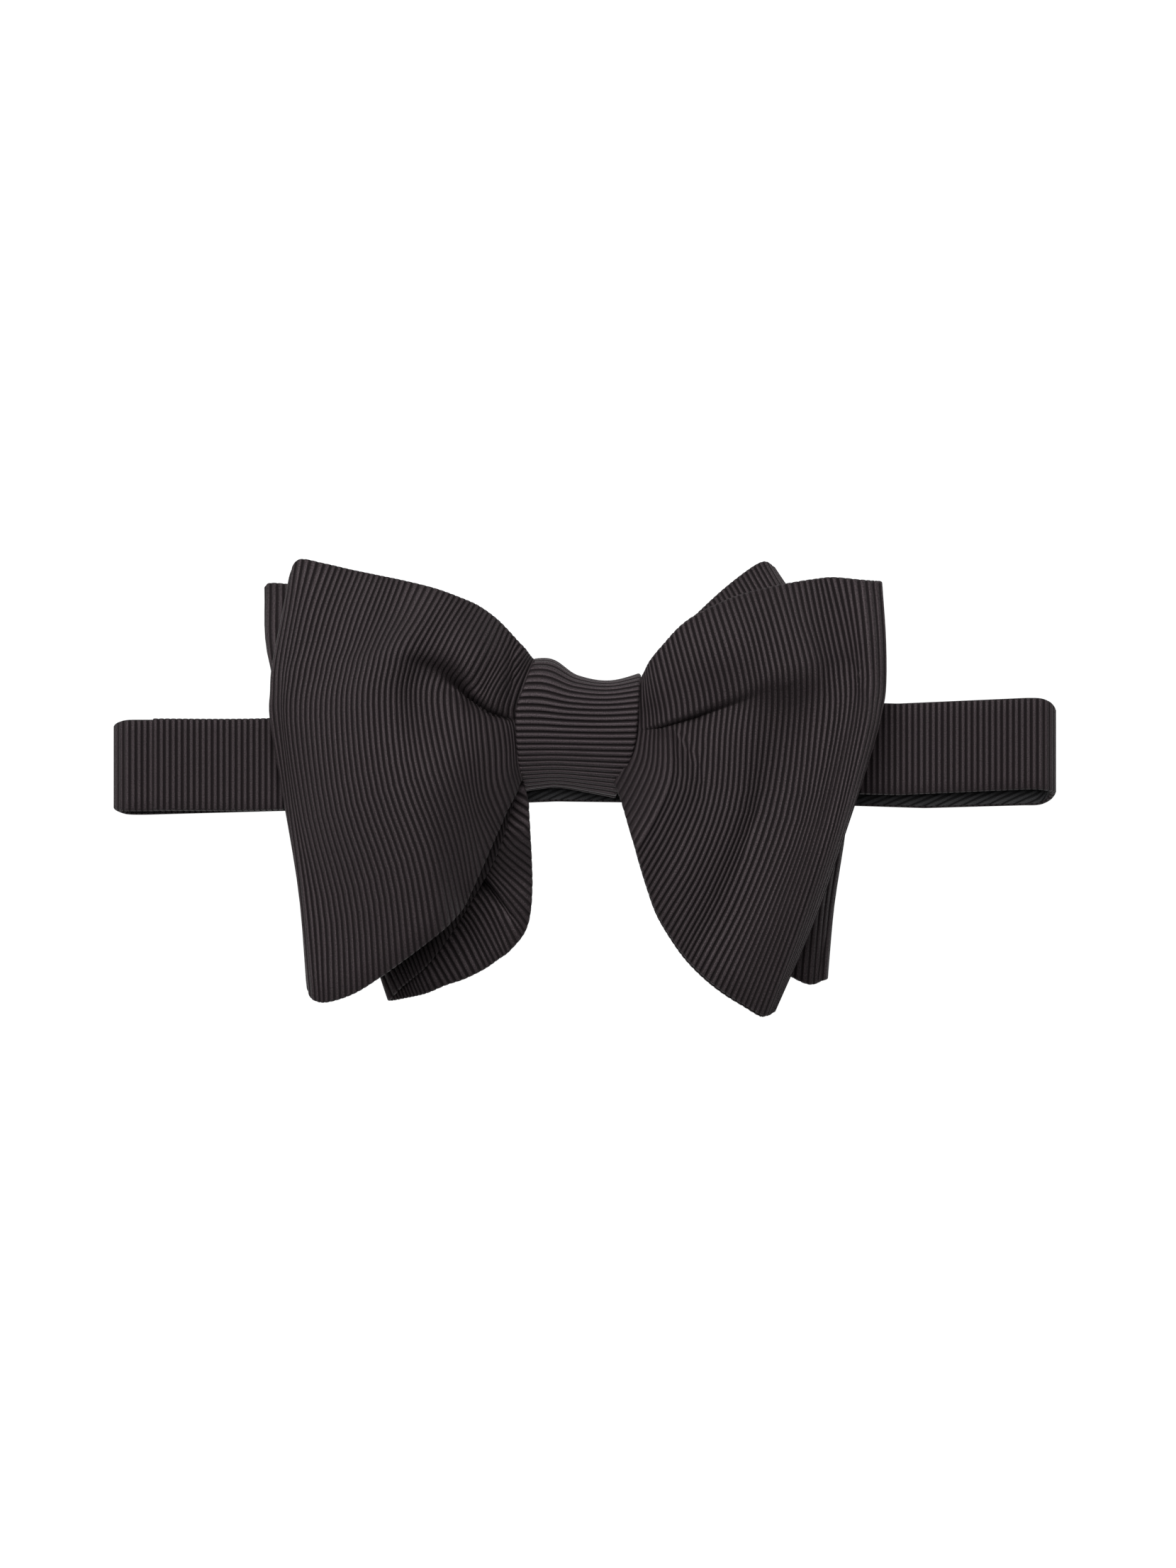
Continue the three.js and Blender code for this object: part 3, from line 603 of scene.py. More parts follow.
WAIST = FRONT_BOW_FRONT_Z  # in the knot the near ply lies level, and sinks only at its hem
FRONT_MIDDLE = line((0, 0, 0, 0, 0, 0, 0, 0), (19.8, 17.4, 14.9, 13.6, 12.1, 9.2, 6.5, 3.9),
                   (WAIST, WAIST, WAIST, WAIST, 15, 14.5, 13.1, 11.2))
FRONT_LEFT = [
    FRONT_MIDDLE,
    line((-9.8, -10.8, -11.8, -12.1, -12.2, -12.2, -12, -11.6),
        (26, 22, 17.6, 15.4, 13.2, 9.5, 6.3, 3.6), (12.6, 14.6, WAIST, WAIST, 15, 14.5, 13.1, 11.2)),
    line((-13, -16.5, -19, -19.6, -17.7, -16.8, -16.5, -15.2),
        (29.6, 24, 19.3, 16.1, 14.2, 9, 3.3, -1.9), (17.8, 20.7, 21.8, 21.2, 19, 18.9, 18.8, 16.5)),
    line((-16.2, -18.8, -21.4, -23.3, -22.4, -21.6, -20.8, -18),
        (33, 27.1, 22.1, 18.6, 15, 7.3, -0.9, -8.1), (18.1, 21.9, 22.9, 22.6, 21.5, 22, 20.2, 16.9)),
    line((-18.9, -21.8, -24.4, -26.5, -25.8, -24.7, -23.2, -19.7),
        (35.6, 29.7, 24.7, 21.2, 16.5, 7, -3.1, -12), (18.1, 23.5, 24.6, 22.1, 22, 23.4, 21.4, 17.8)),
    line((-22.6, -25.7, -28.2, -30.3, -31.3, -29.1, -25.4, -23.1),
        (38.2, 32.4, 27.4, 23.9, 17.8, 5.4, -7.5, -19.8), (18.7, 23.3, 24, 20.9, 21.5, 25.8, 23.2, 18.8)),
    line((-26.4, -29.8, -32.7, -34.8, -35.8, -33.5, -28.7, -25.7),
        (39.9, 34, 28.8, 25.2, 18.1, 3.8, -10.9, -25.1), (19.8, 22.6, 23.5, 21.6, 22.5, 27.6, 24.9, 18.8)),
    line((-31.4, -34.7, -37.9, -39.3, -40.3, -38.4, -33, -30.2),
        (41.7, 35.4, 30, 25.8, 17.9, 2, -14.2, -30), (19.5, 22.3, 25, 25.6, 26.1, 28, 26.6, 22.8)),
    line((-37.9, -40.5, -43.1, -44.5, -45.6, -43.7, -38.1, -35.9),
        (43.4, 36.3, 30.2, 25.7, 17.1, 0.1, -17.5, -34.5),
        (17.8, 20.1, 23.3, 25.3, 26.2, 26.7, 25.3, 22.8)),
    line((-43.5, -46.5, -48.7, -50.2, -51.3, -49.4, -43.9, -42.3),
        (44.6, 36.8, 29.8, 24.8, 15.8, -2.3, -21, -39.2), (16.5, 19, 20.9, 22.4, 23.7, 24.6, 22.9, 20.6)),
    line((-49, -52.1, -54.2, -55.5, -56.6, -54.4, -49.4, -48.1),
        (45.8, 37.3, 29.7, 24.2, 14.8, -4, -23.6, -42.9), (15, 17.4, 19.1, 20, 21.1, 21.6, 20, 18.8)),
    line((-54.9, -57.8, -59.7, -61, -61.5, -58.8, -54.7, -53.7),
        (47.2, 37.7, 29.2, 23.2, 13.6, -5.2, -25.3, -44.8),
        (13.9, 16.1, 17.3, 18.1, 18.4, 18, 17.4, 17.2)),
    line((-60, -61.3, -63.2, -63.6, -63.5, -61.7, -58.9, -56.7),
        (48, 38.3, 27.1, 20.9, 14.5, -0.9, -22, -44.5), (12.8, 14.5, 15.9, 16.7, 16.9, 16.3, 16, 16)),
    line((-61.5, -63.2, -65.1, -65.5, -65.5, -62.8, -59.5, -57.9),
        (45, 36, 26.1, 20.4, 14, -1.6, -22, -42.2), (12.4, 13.7, 14.8, 15.2, 15.4, 15.2, 14.2, 12.4)),
]
FRONT_RIGHT = [
    FRONT_MIDDLE,
    line((10.3, 9.6, 9.3, 9.2, 9, 8.2, 7, 5.8),
        (21.6, 17.5, 15.1, 13.6, 11.8, 8.5, 5.5, 2.8), (14.6, WAIST, WAIST, WAIST, 15, 14.5, 13.1, 11.2)),
    line((14.1, 15.2, 16.1, 16.4, 16.6, 16.3, 13.5, 10.1),
        (27, 21, 16.5, 13.3, 9.8, 2.9, -4, -10.1), (17.2, 18.3, 18.1, 18.5, 20, 22.1, 23.3, 23)),
    line((16.5, 18, 19.2, 19.5, 19.3, 19.2, 15.7, 11.4),
        (29.9, 23.6, 18.1, 14.2, 9.8, 1.2, -7.2, -14.7), (18.3, 19, 19, 19, 19.2, 22.4, 23.3, 23.2)),
    line((20.1, 22.1, 23.7, 24.2, 23.7, 23, 18.7, 13.3), (33.8, 26.6, 20.3, 15.6, 10.2, -0.7, -11.4, -20.9),
        (18.6, 20.1, 19.8, 19.6, 19.3, 20.9, 22.7, 21.8)),
    line((24.1, 26.3, 28.1, 28.7, 28.1, 26.9, 22, 15.4),
        (36.6, 28.8, 22, 17.1, 10.6, -2.3, -15.2, -26.5), (17.8, 20.5, 20, 19.5, 19.4, 19.9, 22.4, 21.2)),
    line((29.4, 31.9, 33.7, 34.3, 33.4, 32, 26, 18.8), (39.2, 31.3, 24.3, 19.2, 11.6, -3.6, -18.8, -32.2),
        (17.5, 20.8, 20.7, 20.2, 19.3, 19.1, 20.7, 20.3)),
    line((34.3, 36.6, 38.2, 38.9, 38.7, 36.3, 29.8, 21.9),
        (40.9, 33.5, 26.9, 22.1, 13.5, -3.6, -21, -36.3), (17.4, 20.3, 21.7, 21.8, 18.9, 17, 18.3, 18.9)),
    line((39.2, 41.3, 42.9, 43.6, 43.6, 41.2, 34.3, 25.9),
        (42.1, 34.6, 28, 23.2, 13.9, -4.6, -23.5, -40.2), (17.4, 20.9, 22.3, 22.2, 18.8, 17.9, 18, 18.3)),
    line((43.7, 45.2, 47, 47.8, 47.7, 45.3, 37.9, 29.7), (43, 35.4, 28.9, 24.2, 14.3, -5.3, -25.1, -43.1),
        (16.9, 19.9, 21.5, 21.6, 19.7, 20.4, 20.2, 17.9)),
    line((48.2, 49.6, 51, 51.8, 52.1, 48.3, 41.2, 33.6), (43.7, 35.8, 29.1, 24.3, 14.1, -5.9, -26.5, -45.5),
        (16.3, 18.2, 19.1, 19.3, 20.7, 24.6, 23.4, 18.3)),
    line((52.3, 54.1, 55.4, 56.1, 55.8, 51.2, 44.4, 37), (44.1, 36.1, 29.3, 24.5, 14.1, -6.3, -27.5, -47.5),
        (16.3, 17.4, 18.3, 18.5, 22.8, 28, 25.5, 19.4)),
    line((57.8, 58.9, 59.5, 59.4, 58.1, 53.2, 46.6, 38.5),
        (43.6, 33.2, 24.6, 19.5, 11, -6.9, -26.9, -47.3), (16, 18.5, 19.3, 20.6, 24.4, 27.4, 24.2, 18.4)),
    line((61.9, 62.6, 62.6, 61.7, 59.8, 54.5, 47.9, 39.4),
        (43.2, 31.3, 21.5, 16.2, 9, -7.2, -26.5, -46.4), (14.3, 16.8, 17.7, 19.7, 22.2, 25.2, 22.3, 18.2)),
]
print("front bow:", len(FRONT_LEFT), "and", len(FRONT_RIGHT), "rib lines")

# %% Rear bow
LEVEL = (0, 0, 0, 0, 0, 0)
REAR_MIDDLE = line(LEVEL, (19.8, 16.8, 13.6, 10.2, 7.2, 4.6), LEVEL)
REAR_LEFT = [
    REAR_MIDDLE,
    line((-9.2, -10.8, -12, -12.2, -12, -11.6), (21.8, 19, 15.2, 10.8, 7.2, 4.4), LEVEL),
    line((-13, -14.8, -16, -15.9, -15.3, -14.5), (27.2, 22.7, 15.9, 9.3, 3.4, -1.4), LEVEL),
    line((-24.6, -25.8, -26.1, -23.8, -20.8, -18.6), (35.8, 27.2, 16.8, 6.4, -4.1, -13.8),
        (1, 1.4, 1.8, 0.8, 0, 1)),
    line((-39.5, -39.5, -37.2, -33.5, -29.1, -25.8), (39.9, 27.2, 13.8, -1.1, -14.5, -26.5),
        (3, 1, 0, 0, 1, 3)),
    line((-53, -52.2, -48.4, -43.1, -37.2, -32.7), (41.8, 27.2, 10.8, -5.5, -21.9, -36.5),
        (4, 1, 0, 0, 2, 4)),
    line((-65.2, -64.5, -59.6, -53.2, -45.5, -38.7), (43.3, 27.2, 10.8, -7, -26.5, -41.9),
        (6, 3, 1, 1, 4, 6)),
    line((-67.3, -66.4, -61.1, -54.5, -46.8, -41.3), (42.6, 28.7, 12.3, -6.3, -28.1, -44.8),
        (7, 5, 3, 3, 6, 8)),
]
REAR_RIGHT = [
    REAR_MIDDLE,
    line((9.6, 9.4, 9.2, 8.6, 7.2, 5.8), (19.8, 17, 13.6, 9.8, 6.8, 4), LEVEL),
    line((13.1, 12.8, 12.7, 12.5, 11.3, 9.3), (24.5, 18.9, 13, 7.5, 2.2, -3.1), LEVEL),
    line((17.9, 20.4, 21.9, 22.3, 20.8, 17.9), (31, 22.7, 13.8, 4.1, -4.8, -13), LEVEL),
    line((23.8, 28.3, 31.2, 32, 30.6, 27.6), (36.8, 27.2, 15.3, 1.9, -11.5, -25),
        (1.5, 0, 0, 0, 0, 1.5)),
    line((30.6, 36.5, 40.9, 41.6, 39.5, 36.6), (43, 31.6, 16.8, -1.1, -18.9, -34.7),
        (2.2, 0, 0, 0, 0.5, 2.2)),
    line((37, 44, 49.9, 50.7, 47.7, 46.3), (47.6, 34, 16.8, -2.6, -23.6, -41),
        (3.2, 1.2, 0, 0, 2.2, 4.2)),
    line((39.6, 48, 53.9, 55, 52.3, 51), (46.8, 33.2, 15.3, -2.6, -24.4, -40.3), (6, 5, 3, 3, 6, 7)),
]
# The far ply of the rear left loop reaches past its near ply. z is its lift off what it lies on.
FLAT = (0, 0, 0, 0, 0, 0, 0)
LOW_LIFT = (0, 0, 0, 0, 1.5, 2, 1.5)
REAR_LEFT_FAR = [
    line(FLAT, (19.8, 17.2, 14.5, 11.9, 9.2, 6.6, 3.9), FLAT),
    line((-12.1, -13.9, -15.1, -15.4, -15.1, -14, -12), (25.9, 22.1, 16, 9.4, 4.4, 2.8, 2.3), FLAT),
    line((-15.4, -17.5, -18.7, -18.3, -16.9, -15.2, -12), (29.6, 23.6, 15.4, 7.9, 2.2, -1.2, -3.5),
        LOW_LIFT),
    line((-18.7, -21.7, -23.5, -22.9, -19.9, -16.3, -11.4), (32.4, 25.1, 15.4, 5.6, -4.1, -9.8, -13.9),
        (0, 0, 0, 1, 3, 4, 3)),
    line((-22.9, -26.5, -28.6, -27.4, -22.5, -18, -11.4), (34.8, 26.6, 15.4, 2.6, -10.9, -17.6, -24.2),
        (0, 0, 0, 1, 4, 6, 4)),
    line((-26.2, -30.1, -31.9, -30.4, -24.1, -18.3, -12.6), (36, 27.4, 15.4, 1.1, -13.7, -21.5, -29.9),
        (0, 0, 0, 1, 4, 5.5, 3)),
    line((-29.5, -33.4, -35.2, -33.4, -26.2, -19.9, -15.9), (36.9, 28.1, 15.4, -0.4, -16.4, -25.4, -34.1),
        (0, 0, 0, 1, 2.5, 3, 2)),
    line((-33.1, -36.7, -38.5, -36.7, -29.8, -23.1, -18.3), (37.8, 28.1, 15.4, -1.1, -17.9, -26.9, -35.9),
        (0, 0, 0, 1, 2.5, 3, 2)),
    line((-37, -40.3, -41.8, -40, -32.8, -26.1, -21.3), (38.6, 28.9, 15.4, -1.9, -21.4, -28.8, -38),
        LOW_LIFT),
    line((-41.2, -44.2, -45.4, -43.6, -36.1, -30, -25.6), (39.3, 28.9, 15.4, -2.6, -23.9, -32.3, -40.1),
        LOW_LIFT),
    line((-45.7, -48.1, -48.7, -46.6, -38.8, -33.6, -29.4), (39.9, 28.9, 15.4, -3.4, -25.9, -34.1, -41.4),
        LOW_LIFT),
    line((-50.2, -51.7, -51.7, -49, -41.2, -36.1, -32.8), (40.5, 28.9, 14.6, -4.1, -28.1, -36, -43.3),
        LOW_LIFT),
    line((-64, -64.1, -59.5, -53.5, -43.9, -39.7, -36.1), (42, 28.1, 11.6, -5.6, -28.8, -37.3, -44.4),
        (2, 1, 0, 0, 1, 2, 2)),
]
print("rear bow:", len(REAR_LEFT), "and", len(REAR_RIGHT), "rib lines, far ply", len(REAR_LEFT_FAR))

# %% [markdown]
# ## Folds that the tables are too coarse for
# A crease is narrower than the space between two table columns, and a soft wave runs across them. Each
# one is a short path with a depth and a width at both ends: the cloth sinks along it like a ditch.

# %% Creases and waves
FOLD_JOIN = 6  # the higher it is, the sharper the line where one fold runs into another


def ditch(depth, width, *path):
    """A path along which the cloth sinks. Depth and (right, left) width are those at its two ends."""
    return {"depth": depth, "width": width, "path": np.array(path, float)}


FRONT_FOLDS = [
    # The left wing's crease, from the knot out to the hollow where it ends: the lobe overhangs it
    ditch((1.6, 4.2), ((0.4, 1.4), (0.7, 2.2)), (-15.4, 14.7), (-20.2, 16.4), (-24, 19.1)),
    ditch((4.2, 0.4), ((0.7, 2.2), (2.2, 2.6)), (-24, 19.1), (-27, 21.4), (-30.5, 23.2)),
    # The pinch beside the knot, where the lobe's ribs turn down into the sleeve
    ditch((0.7, 2), ((0.9, 1.3), (0.9, 1.2)), (-15.3, 30.2), (-15.9, 26.5), (-15.7, 22.5)),
    ditch((2, 1), ((0.9, 1.2), (0.9, 1.1)), (-15.7, 22.5), (-15.3, 19.5), (-15.3, 16.5)),
    # The right wing's crease
    ditch((1.6, 2.2), ((2.4, 0.35), (4, 0.4)), (11.2, 12), (16, 13), (23, 15.2)),
    ditch((2.2, 0.3), ((4, 0.4), (4.5, 1.6)), (23, 15.2), (33, 18.2), (39.5, 20.6)),
    # Soft waves in the right wing: under the crease, in its middle and along its outer ridge
    ditch((1.4, 0.3), ((1.2, 1), (1.6, 1.2)), (19, 11.8), (24, 5), (25, -3.5)),
    ditch((0.4, 1), ((1.6, 1.4), (1.8, 1.2)), (35.4, -1.5), (35.2, -7), (33.5, -12)),
    ditch((0.8, 2.6), ((3.2, 1.6), (3, 1.4)), (57, 21), (54.4, 10), (50.6, -1)),
    ditch((2.6, 0.8), ((3, 1.4), (2.6, 1.4)), (50.6, -1), (46.4, -11.5), (40, -25)),
]
REAR_FOLDS = [
    # The dark hollow in the rear left loop, beside the front wing's hem
    ditch((5, 1), ((2.8, 0.8), (1.2, 0.6)), (-23.4, -17.4), (-19.4, -21.2), (-15.9, -26.4)),
]


def sink(x, y, folds):
    """How far the folds lower the cloth at x, y."""
    total = 0
    for fold in folds:
        path = fold["path"]
        starts = lengths_along(path)
        nearest, at, side = np.inf, 0, 0
        for a, b, start, end in zip(path[:-1], path[1:], starts[:-1], starts[1:]):
            leg = end - start
            dx, dy = (b - a) / leg
            t = np.clip(((x - a[0]) * dx + (y - a[1]) * dy) / leg, 0, 1)
            away = np.hypot(x - mix(a[0], b[0], t), y - mix(a[1], b[1], t))
            closer = away < nearest
            at = np.where(closer, (start + t * leg) / starts[-1], at)
            side = np.where(closer, dx * (y - a[1]) - dy * (x - a[0]), side)
            nearest = np.minimum(away, nearest)
        first, last = fold["width"]
        width = np.where(side < 0, mix(first[0], last[0], at), mix(first[1], last[1], at))
        own = mix(*fold["depth"], at) * np.exp(-((nearest / width) ** 2))
        total = (total**FOLD_JOIN + own**FOLD_JOIN) ** (1 / FOLD_JOIN)
    return total


# %% [markdown]
# ## The plies
# Each wing has a near ply and a far ply, joined at the fold. The near ply of the front bow follows its
# table, and everything else follows from what it lies on. Close to the fold the far ply comes up to
# the near one in a half round.

# %% Near and far plies
FOLD_TURN_ROWS = 1.4  # this far before the fold the far ply begins to come up
FOLD_ROOM = 1.7  # room between the middles of two plies just inside the fold
ROUND_ROWS = 0.3
WING_WIDTH = 80.0
FOLD_ROWS = (1.2, 2.0)  # nearer to the knot its sleeve presses the folds flat


def fold_turn(rows, row):
    start = len(rows) - 1 - FOLD_TURN_ROWS
    t = np.clip((row - start) / FOLD_TURN_ROWS, 0, 1)
    return 1 - np.sqrt(1 - t * t)


def fold_room(rows, row):
    inside = np.clip((len(rows) - 1 - row) / ROUND_ROWS, 0, 1)
    return FOLD_ROOM * np.sqrt(1 - (1 - inside) ** 2)


def front_near(rows, row, across):
    p = table_point(rows, row, across)
    p[..., 2] -= sink(p[..., 0], p[..., 1], FRONT_FOLDS) * ramp(row, *FOLD_ROWS)
    return p


def front_far(rows, row, across, reach):
    """The ply behind, whose edges stand out by reach past those of the near one."""
    near = front_near(rows, row, across)
    spread = 1 + 2 * reach / WING_WIDTH
    p = table_point(rows, row, 0.5 + (across - 0.5) * spread)
    lying = between_bows(p[..., 0], p[..., 1]) + half_room(p[..., 0])
    turned = mix(lying, near[..., 2], fold_turn(rows, row))
    p[..., 2] = np.minimum(turned, near[..., 2] - fold_room(rows, row))
    return p


def rear_near(rows, row, across):
    p = table_point(rows, row, across)
    depth = np.maximum(p[..., 2], 0)
    p[..., 2] = between_bows(p[..., 0], p[..., 1]) - half_room(p[..., 0]) - depth
    p[..., 2] = np.maximum(p[..., 2], LOWEST + fold_room(rows, row))
    return p


def rear_far(rows, row, across, far_rows=None):
    """The ply on the band and the table, with a table of its own where it reaches past the near one."""
    turn = fold_turn(rows, row)[..., None]
    near = rear_near(rows, row, across)
    if far_rows:
        p = table_point(far_rows, row / (len(rows) - 1) * (len(far_rows) - 1), across)
        lift = np.maximum(p[..., 2], 0)
        p = mix(p, near, turn)
    else:
        p = near.copy()
        lift = 0
    lying = under_rear_bow(p[..., 0], p[..., 1]) + LOWEST + lift - sink(p[..., 0], p[..., 1], REAR_FOLDS)
    turned = mix(np.maximum(lying, LOWEST), near[..., 2], turn[..., 0])
    p[..., 2] = np.minimum(turned, near[..., 2] - fold_room(rows, row))
    return p


# %% [markdown]
# ## From plies to a bow
# A walk round the ring of cloth goes out along the right near ply and back along its far ply, then out
# along the left far ply and back along the near one. It is measured on the cloth, so that the ribs are
# evenly spaced round it.

# %% The ring of a bow
ACROSS = 36
EDGE_INSET = 0.0035  # so that the folded rim ends where the table's edge is
CREASE_ACROSS = 0.43
CREASE_SPREAD = 0.07
CREASE_CROWDING = 3.0
FINE_STEPS = 2001
WALK_STEPS = 3200
MEASURED_LINES = np.linspace(0.1, 0.9, 7)
WAVES_ALONG = 0.7
WAVES_ACROSS = 12


def across_shares():
    """Shares of the way across a wing, closer together at the crease."""
    fine = np.linspace(0, 1, FINE_STEPS)
    density = 1 + CREASE_CROWDING * np.exp(-(((fine - CREASE_ACROSS) / CREASE_SPREAD) ** 2))
    total = np.cumsum(density) - density[0]
    return mix(EDGE_INSET, 1 - EDGE_INSET, np.interp(np.linspace(0, total[-1], ACROSS), total, fine))


def ring_points(plies, walk, shares):
    """Middle points of the ring: walk counts the plies, and their shares run out and back by turns."""
    grid = np.zeros((len(walk), len(shares), 3))
    for number, (ply, rows, more, _) in enumerate(plies):
        here = (walk >= number) & (walk < number + 1)
        share = walk[here] - number
        row = (share if number % 2 == 0 else 1 - share) * (len(rows) - 1)
        grid[here] = ply(rows, *np.meshgrid(row, shares, indexing="ij"), *more)
    return grid


def even_walk(plies):
    """Places on the walk where rib lines lie, evenly spaced on the cloth, and their rib numbers."""
    places = np.linspace(0, len(plies), WALK_STEPS + 1)
    grid = ring_points(plies, places[:-1], MEASURED_LINES)
    length = lengths_along(np.concatenate([grid, grid[:1]]))
    count = int(round(length[-1] / RIB))
    crests = np.interp((np.arange(count) + 0.5) / count * length[-1], length, places)
    phases = rib_phases([plies[int(at)][-1] for at in crests])
    walk = np.interp(phases / count * length[-1], length, places)
    print("ring of cloth", round(length[-1]), "mm round,", count, "ribs")
    return np.minimum(walk, len(plies) - 1e-9), phases


def ring_skin(middle, phases, waviness):
    half = np.full(middle.shape[:2], CLOTH / 2)
    return skin_round_wall(middle, wall_normals(middle, True), half, rib_relief(phases, waviness))


def make_bow(name, plies, seed):
    walk, phases = even_walk(plies)
    shares = across_shares()
    middle = ring_points(plies, walk, shares)
    waviness = uneven(phases[:, None] * WAVES_ALONG, shares[None, :] * WAVES_ACROSS, seed)
    return cloth_mesh(name, ring_skin(middle, phases, waviness), phases, True, WING_SILK)


# %% Both bows
REACH_RIGHT, REACH_LEFT = 0.3, -0.8
FRONT_PLIES = [
    # its shape, its table, what else the shape needs, whether it is hidden
    (front_near, FRONT_RIGHT, (), False),
    (front_far, FRONT_RIGHT, (REACH_RIGHT,), True),
    (front_far, FRONT_LEFT, (REACH_LEFT,), True),
    (front_near, FRONT_LEFT, (), False),
]
REAR_PLIES = [
    (rear_near, REAR_RIGHT, (), False),
    (rear_far, REAR_RIGHT, (), True),
    (rear_far, REAR_LEFT, (REAR_LEFT_FAR,), False),
    (rear_near, REAR_LEFT, (), False),
]
front_bow = make_bow("front_bow_silk", FRONT_PLIES, seed=3)
rear_bow = make_bow("rear_bow_silk", REAR_PLIES, seed=5)

# %% [markdown]
# ## The knot
# The knot is a short sleeve round the waists. Its ribs run from its left edge to its right one, side by
# side all the way round. Its outline seen from the front is drawn by four short tables. Its section is
# a flat back with a rounded front, and the front comes down at the bottom.

# %% The knot's sleeve
KNOT_TOP = ((-14, 27.2), (-8.6, 27.3), (-2.6, 24), (4.4, 22.8), (12, 24.9))
KNOT_BOTTOM = ((-14, -0.8), (-9.6, -0.2), (-4.5, 0.2), (4.2, -1), (12, -2.2))
KNOT_LEFT = ((-2, -12.4), (1, -13), (4, -14), (16, -14.7), (20.6, -13.2), (28, -10.4))
KNOT_RIGHT = ((-2, 6.3), (3.8, 8.9), (9.5, 10.7), (14.5, 11.3), (24, 11.9))
KNOT_SECTION = ((0, 1), (0.25, 0.98), (0.46, 0.93), (0.64, 0.84), (0.8, 0.66), (0.92, 0.38), (0.98, 0.05),
                (1, -0.6), (0.95, -0.9), (0.84, -1), (0.45, -1), (0, -1))
KNOT_SAG = 7.5  # how much lower its front stands at the bottom
KNOT_LEVELS = (-0.7, 24.2)  # where its bottom and top would be without their curves
KNOT_SIDES = (-12.5, 10.5)  # about where its left and right edges are
EDGE_FADE = 4  # the higher it is, the closer to the edge its curve and the sag begin
KNOT_ACROSS = 34
KNOT_INSET = 0.02
KNOT_STEPS = 1200
KNOT_MEASURED = (0.2, 0.5, 0.8)
WAVE_LINES = 9  # mesh lines, round the knot, for one step of unevenness
KNOT_WAVES_ACROSS = 9


def knot_section(share):
    """Unit (y, z) of the knot's section, share from 0 to 1 once round from the crown."""
    other = [(-y, z) for y, z in KNOT_SECTION[-2:0:-1]]
    loop = np.array([*KNOT_SECTION, *other], float)
    wrapped = np.vstack([loop[-2:], loop, loop[:3]])
    number = np.interp(share, np.linspace(0, 1, len(loop) + 1), np.arange(len(loop) + 1)) + 2
    return np.stack([through(wrapped[:, k], number) for k in (0, 1)], -1)


def knot_middle(share, across):
    """Middle points of the sleeve's wall: share once round it, across from its left edge to its right."""
    share, across = np.meshgrid(share, across, indexing="ij")
    section = knot_section(share.ravel()).reshape(*share.shape, 2)
    half = CLOTH / 2
    rough_x = mix(*KNOT_SIDES, across)
    low, high = KNOT_LEVELS
    up = (section[..., 0] + 1) / 2
    near_top, near_bottom = up**EDGE_FADE, (1 - up) ** EDGE_FADE
    y = mix(low + half, high - half, up)
    y += (along(KNOT_TOP, rough_x) - high) * near_top + (along(KNOT_BOTTOM, rough_x) - low) * near_bottom
    x = mix(along(KNOT_LEFT, y), along(KNOT_RIGHT, y), across)
    front = KNOT_FRONT_Z - half + KNOT_EDGE_RISE * (2 * across - 1) ** 2 - KNOT_SAG * near_bottom
    back = KNOT_BACK_Z + half
    return np.stack([x, y, mix(back, front, (section[..., 1] + 1) / 2)], -1)


def make_knot():
    fine = np.linspace(0, 1, KNOT_STEPS + 1)
    length = lengths_along(knot_middle(fine, KNOT_MEASURED))
    count = int(round(length[-1] / RIB))
    phases = rib_phases([False] * count)
    share = np.interp(phases / count * length[-1], length, fine)
    across = np.linspace(KNOT_INSET, 1 - KNOT_INSET, KNOT_ACROSS)
    middle = knot_middle(share, across)
    lines = np.arange(len(phases))[:, None]
    waviness = uneven(lines / WAVE_LINES, across[None, :] * KNOT_WAVES_ACROSS, seed=11)
    skin = ring_skin(middle, phases, waviness)
    print("knot's sleeve", round(length[-1]), "mm round,", count, "ribs")
    return cloth_mesh("knot_silk_sleeve", skin, phases, True, LIGHTENED_KNOT_SILK)


knot = make_knot()

# %% [markdown]
# ## The neck band
# The band is one long strip: from the clasp along the table to the left end of the loop, round it,
# across the front behind the bows, round the right end and back to the clasp. Each of its ends is
# turned round a bar of the clasp. Its ribs stand across its length.

# %% The band's way
REAR_LAYER_RIGHT = ((93, 6.1), (72, 5.5), (50, 6.2))
REAR_LAYER_LEFT = ((18, 6.6), (-6, 6.9), (-46, 5.4), (-93, 4.1))
CLASP = {"x": 33, "y": 6.6, "length": 13.4, "bar": 1.6, "thickness": 1.0}
CLASP_Z = BAND_CLOTH + GAP + CLASP["thickness"] / 2
HAIRPIN_RADIUS = CLASP["thickness"] / 2 + GAP + BAND_CLOTH / 2
HAIRPIN_RETURN = 8
HAIRPIN_SLACK = 0.3
HAIRPIN_STEPS = 6
END_STEPS = 10
TAIL_STEPS = 60
END_NARROWING = 1.4


def half_turn(centre_x, centre_z, radius, direction, steps):
    angles = -math.pi / 2 + math.pi * np.arange(steps + 1) / steps
    return centre_x + direction * radius * np.cos(angles), centre_z + radius * np.sin(angles)


def hairpin(direction):
    """One end of the band, turned round a bar of the clasp."""
    bar_x = CLASP["x"] - direction * (CLASP["length"] / 2 - CLASP["bar"] / 2)
    centre_x = bar_x + direction * HAIRPIN_SLACK
    xs, zs = half_turn(centre_x, CLASP_Z, HAIRPIN_RADIUS, direction, HAIRPIN_STEPS)
    xs = np.append(xs, bar_x - direction * HAIRPIN_RETURN)
    zs = np.append(zs, CLASP_Z + HAIRPIN_RADIUS)
    return [(x, CLASP["y"], BAND_WIDTH, z) for x, z in zip(xs, zs)]


